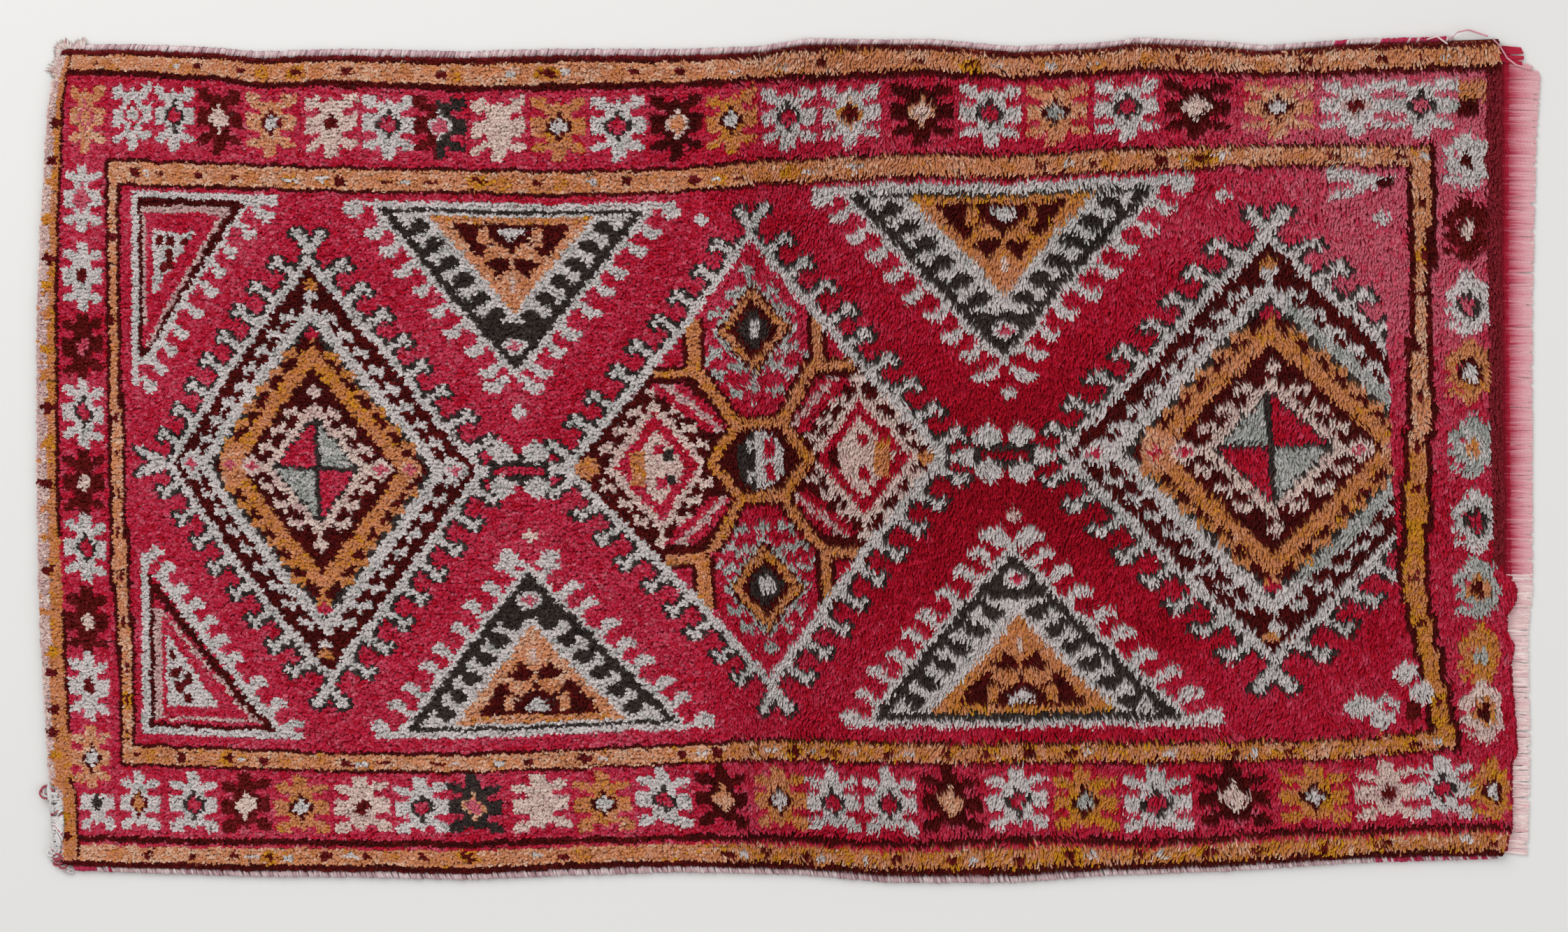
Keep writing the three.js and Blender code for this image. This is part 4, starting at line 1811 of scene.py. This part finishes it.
LOOSE_YARNS = table("""
yarn  share  x      y      z     tone
1     0      479.5  316.0  5.5   0.95
1     0.5    487.0  318.2  6.6   0.95
1     1      495.0  312.6  6.2   0.95
2     0      497.0  315.5  5.4   0.55
2     0.3    502.5  321.5  5.2   0.55
2     0.6    511.0  323.4  4.6   0.55
2     1      525.5  318.6  4.8   0.55
3     0      529.0  316.5  6.4   0.6
3     0.25   534.5  310.5  6.8   0.6
3     0.5    540.0  302.0  5.6   0.6
3     0.75   547.0  297.0  4.4   0.6
3     1      559.0  293.5  3.6   0.6
""")
LOOSE_YARN_RADIUS = 0.75


def loose_yarns():
    """Three pulled ends of binding yarn that lie over the back right corner."""
    names = sorted(set(column(LOOSE_YARNS, "yarn")))
    lines = [[row for row in LOOSE_YARNS if row["yarn"] == name] for name in names]

    def course(share):
        places = [[along(line, "share", axis, share) for axis in "xyz"] for line in lines]
        return np.array(places, float)

    side = unit(np.array([0.3, 1.0, 0.0]))
    tone = np.array([line[0]["tone"] for line in lines])
    # The binding's yarn, pulled out: fuzzy and matt, rose to nearly white
    piece = plant(
        "loose_yarns", strand_template(6, even_cuts(16)), course, side,
        LOOSE_YARN_RADIUS, LOOSE_YARN_RADIUS, tone, wool("Loose binding yarn", FRINGE_SHADES, 0.85),
    )
    return place_on(piece, "fringe_wool")


FRAY_LINE = table("""
share  x     y      way
0      -529  309.0  112
0.4    -541  309.6  132
0.6    -546  307.5  165
0.8    -548  302.0  200
1      -551  295.0  232
""")
FRAY_STRANDS = 420


def fray_piece():
    """Frayed tufts around the back left corner."""
    rng = np.random.default_rng(SEED + 5)
    count = FRAY_STRANDS
    share = rng.random(count)
    angle = np.radians(along(FRAY_LINE, "share", "way", share) + rng.normal(0, 13, count))
    base = np.stack([along(FRAY_LINE, "share", axis, share) for axis in "xy"], -1)
    length = rng.uniform(5, 10.5, count) * (0.75 + 0.25 * np.cos(share * 12.6))
    height = rng.uniform(1.2, 4.2, count)
    curl = rng.normal(0, 0.35, count)

    def course(share):
        turn = angle + curl * share
        x = base[:, 0] + length * share * np.cos(turn)
        y = base[:, 1] + length * share * np.sin(turn)
        return np.stack([x, y, height * (1 - 0.55 * share) + 0.2], -1)

    side = np.stack([-np.sin(angle), np.cos(angle), np.zeros(count)], -1)
    tone = rng.uniform(0.1, 0.99, count)
    # Undyed and rose wool that has come apart: pale, matt and loose
    piece = plant(
        "corner_tufts", strand_template(4, (0.5,), True), course, side,
        0.9, 0.6, tone, wool("Frayed wool", FRAY_SHADES, 0.85),
    )
    return place_on(piece, "frayed_wool", "corner_fray")


MENDING_LINE = table("""
y     x       half  height
-244  -556.0  2.6   5.5
-249  -553.0  5.4   8.0
-255  -550.6  6.6   9.8
-263  -549.6  7.2   10.6
-273  -549.0  7.2   10.6
-282  -549.2  6.4   10.2
-288  -550.0  4.0   8.6
-294  -551.4  5.4   7.8
-300  -550.6  4.8   7.0
-303  -550.0  2.6   5.6
""")
# Where each loop is, its half sizes, and its shade from red to white
MENDING_LOOPS = table("""
x       y      wide  long  height  tone
-557.6  -250   5.2   4.4   4.6     0.02
-556.8  -250   3.0   2.4   5.6     0.35
-558.0  -248   3.8   3.4   3.2     0.05
-552.6  -253   3.4   3.0   6.4     0.9
-553.6  -295   3.6   2.6   5.0     0.85
-552.6  -297   4.2   3.0   4.2     0.7
-549.6  -298   3.0   2.2   5.8     0.02
-548.0  -301   3.2   2.4   4.8     0.03
-550.2  -303   2.4   1.8   3.4     0.02
-545.6  -305   2.6   2.0   3.6     0.02
-543.0  -308   2.6   1.6   2.6     0.25
-540.0  -309   2.2   1.4   2.2     0.35
""")
MENDING_STRANDS, MENDING_WRAPS = 20, 16
MENDING_RED = 2  # strands of red thread


def mending_piece():
    """White cotton yarn along the left end, as a mender left it: strands that wander beside each
    other, wraps over them, and a looped red end at each side."""
    rng = np.random.default_rng(SEED + 6)
    # Plied cotton: smoother and whiter than wool, greyed by use, with a few red threads
    material = wool("Mending cotton", MENDING_SHADES, 0.85, 0.15)

    # Strands
    count = MENDING_STRANDS
    first, last = (MENDING_LINE[index]["y"] for index in (0, -1))
    phase, pace = rng.uniform(0, 6.3, count), rng.uniform(2.2, 5, count)
    begin, stop = rng.uniform(0, 0.3, count), rng.uniform(0.75, 1, count)

    def wander(share):
        at = begin + (stop - begin) * share
        y = first + (last - first) * at
        turn = phase + pace * at * 6.3
        half, top = (along(MENDING_LINE, "y", name, y) for name in ("half", "height"))
        x = along(MENDING_LINE, "y", "x", y) + 0.62 * half * np.sin(turn)
        rise = 0.9 + (top - 2.2) * (0.6 + 0.36 * np.cos(turn * 1.3))
        return np.stack([x, y + 2.2 * np.cos(turn * 1.7), rise], -1)

    tone = rng.uniform(0.6, 0.98, count)
    tone[:MENDING_RED] = 0.04
    strands = plant(
        "mending_strands", strand_template(5, even_cuts(40)), wander, ACROSS, 0.95, 0.85, tone,
        material,
    )

    # Wraps
    count = MENDING_WRAPS
    middle = np.linspace(-251, -300, count) + rng.normal(0, 1.1, count)
    lean = rng.normal(0, 4.6, count)
    x, half, top = (along(MENDING_LINE, "y", name, middle) for name in ("x", "half", "height"))
    half = half * rng.uniform(0.85, 1.1, count)
    top = top * rng.uniform(0.86, 1.05, count)

    def wrap(share):
        turn = math.pi * (1.15 - 1.3 * share)
        rise = np.maximum(top * math.sin(turn) * 0.76, 0.9)
        return np.stack([x + half * 0.8 * math.cos(turn), middle + lean * (share - 0.5), rise], -1)

    tone = rng.uniform(0.5, 0.98, count)
    wraps = plant(
        "mending_wraps", strand_template(6, even_cuts(10)), wrap, ALONG,
        rng.uniform(0.7, 1.1, count), 0.75, tone, material,
    )

    # Loops: most of a turn each
    loop_x, loop_y, wide, long, height, tone = (
        column(MENDING_LOOPS, name) for name in ("x", "y", "wide", "long", "height", "tone")
    )

    def loop(share):
        turn = 5.6 * share + loop_x
        rise = height + 0.5 * np.sin(turn * 2)
        return np.stack([loop_x + wide * np.cos(turn), loop_y + long * np.sin(turn), rise], -1)

    loops = plant(
        "mending_loops", strand_template(5, even_cuts(18)), loop, UPRIGHT, 0.8, 0.8, tone, material
    )
    return [place_on(piece, "mending_cotton", "mending_yarn") for piece in (strands, wraps, loops)]


FLOOR_GAP = 0.5 * MM  # under the rug
LIGHTS = table("""
name          x     y     z    size  share
soft_light    -1.2  1.5   2.2  2.4   1
second_light  1.6   -0.8  2.4  2.8   0.45
""")
CAMERA_PLACE = (-0.0034, -0.0044)  # over the middle of the photograph
FILM_WIDTH = 36


def make_stage(settings):
    """Pale floor, one big soft light, a dim second one, and a camera straight above."""
    floor = bmesh.new()
    bmesh.ops.create_grid(floor, x_segments=1, y_segments=1, size=6)
    mesh = bpy.data.meshes.new("floor")
    floor.to_mesh(mesh)
    floor.free()
    # Painted floor: plain, pale and matt
    material, shader = new_material("Plain floor")
    shader.inputs["Base Color"].default_value = settings.floor_colour
    shader.inputs["Roughness"].default_value = 0.7
    mesh.materials.append(material)
    ground = add_object("floor", mesh)
    ground.location.z = -FLOOR_GAP
    for row in LIGHTS:
        data = bpy.data.lights.new(row["name"], "AREA")
        data.size = row["size"]
        data.energy = settings.soft_light * row["share"]
        light = add_object(row["name"], data)
        light.location = [row[axis] for axis in "xyz"]
        light.rotation_euler = (-light.location).to_track_quat("-Z", "Y").to_euler()
    world = bpy.data.worlds.new("Plain light")
    world.use_nodes = True
    sky = world.node_tree.nodes["Background"]
    sky.inputs["Color"].default_value = linear(SKY_SHADE)
    sky.inputs["Strength"].default_value = settings.sky_light
    bpy.context.scene.world = world
    bpy.context.scene.view_settings.view_transform = "Standard"
    data = bpy.data.cameras.new("camera")
    data.sensor_width = FILM_WIDTH
    data.lens = FILM_WIDTH * settings.camera_height / settings.frame_width
    camera = add_object("camera", data)
    camera.location = (*CAMERA_PLACE, settings.camera_height)
    bpy.context.scene.camera = camera


class RUG_OT_pile(bpy.types.Operator):
    """Plant the pile, and weave the ground under it"""

    bl_idname = "rug.pile"
    bl_label = "Pile and ground"

    def execute(self, context):
        settings = context.scene.rug_pile
        tufts, chart = pile_pieces(settings)
        sheet = ground_piece(settings, chart)
        return {"FINISHED"}


class RUG_OT_bindings(bpy.types.Operator):
    """Overcast the long sides"""

    bl_idname = "rug.bindings"
    bl_label = "Bindings"

    def execute(self, context):
        for side in BINDINGS:
            binding_piece(side, context.scene.rug_edges)
        return {"FINISHED"}


class RUG_OT_ends(bpy.types.Operator):
    """Make the fringe, the frayed corner and the mended stretch"""

    bl_idname = "rug.ends"
    bl_label = "Fringe and loose ends"

    def execute(self, context):
        fringe_pieces(context.scene.rug_edges)
        loose_yarns()
        fray_piece()
        mending_piece()
        return {"FINISHED"}


class RUG_OT_stage(bpy.types.Operator):
    """Set up the floor, the light and the camera"""

    bl_idname = "rug.stage"
    bl_label = "Stage"

    def execute(self, context):
        make_stage(context.scene.rug_stage)
        return {"FINISHED"}


OPERATORS = (RUG_OT_pile, RUG_OT_bindings, RUG_OT_ends, RUG_OT_stage)


class RUG_PT_panel(bpy.types.Panel):
    """The rug's operators"""

    bl_label = "Oriental rug"
    bl_space_type = "VIEW_3D"
    bl_region_type = "UI"
    bl_category = "Rug"

    def draw(self, context):
        for operator in OPERATORS:
            self.layout.operator(operator.bl_idname)


CLASSES = (PileSettings, EdgeSettings, StageSettings, *OPERATORS, RUG_PT_panel)


def register():
    for cls in CLASSES:
        bpy.utils.register_class(cls)
    bpy.types.Scene.rug_pile = bpy.props.PointerProperty(type=PileSettings)
    bpy.types.Scene.rug_edges = bpy.props.PointerProperty(type=EdgeSettings)
    bpy.types.Scene.rug_stage = bpy.props.PointerProperty(type=StageSettings)


def unregister():
    del bpy.types.Scene.rug_stage
    del bpy.types.Scene.rug_edges
    del bpy.types.Scene.rug_pile
    for cls in reversed(CLASSES):
        bpy.utils.unregister_class(cls)


def main():
    register()
    bpy.ops.rug.pile()
    bpy.ops.rug.bindings()
    bpy.ops.rug.ends()
    bpy.ops.rug.stage()


if __name__ == "__main__":
    main()
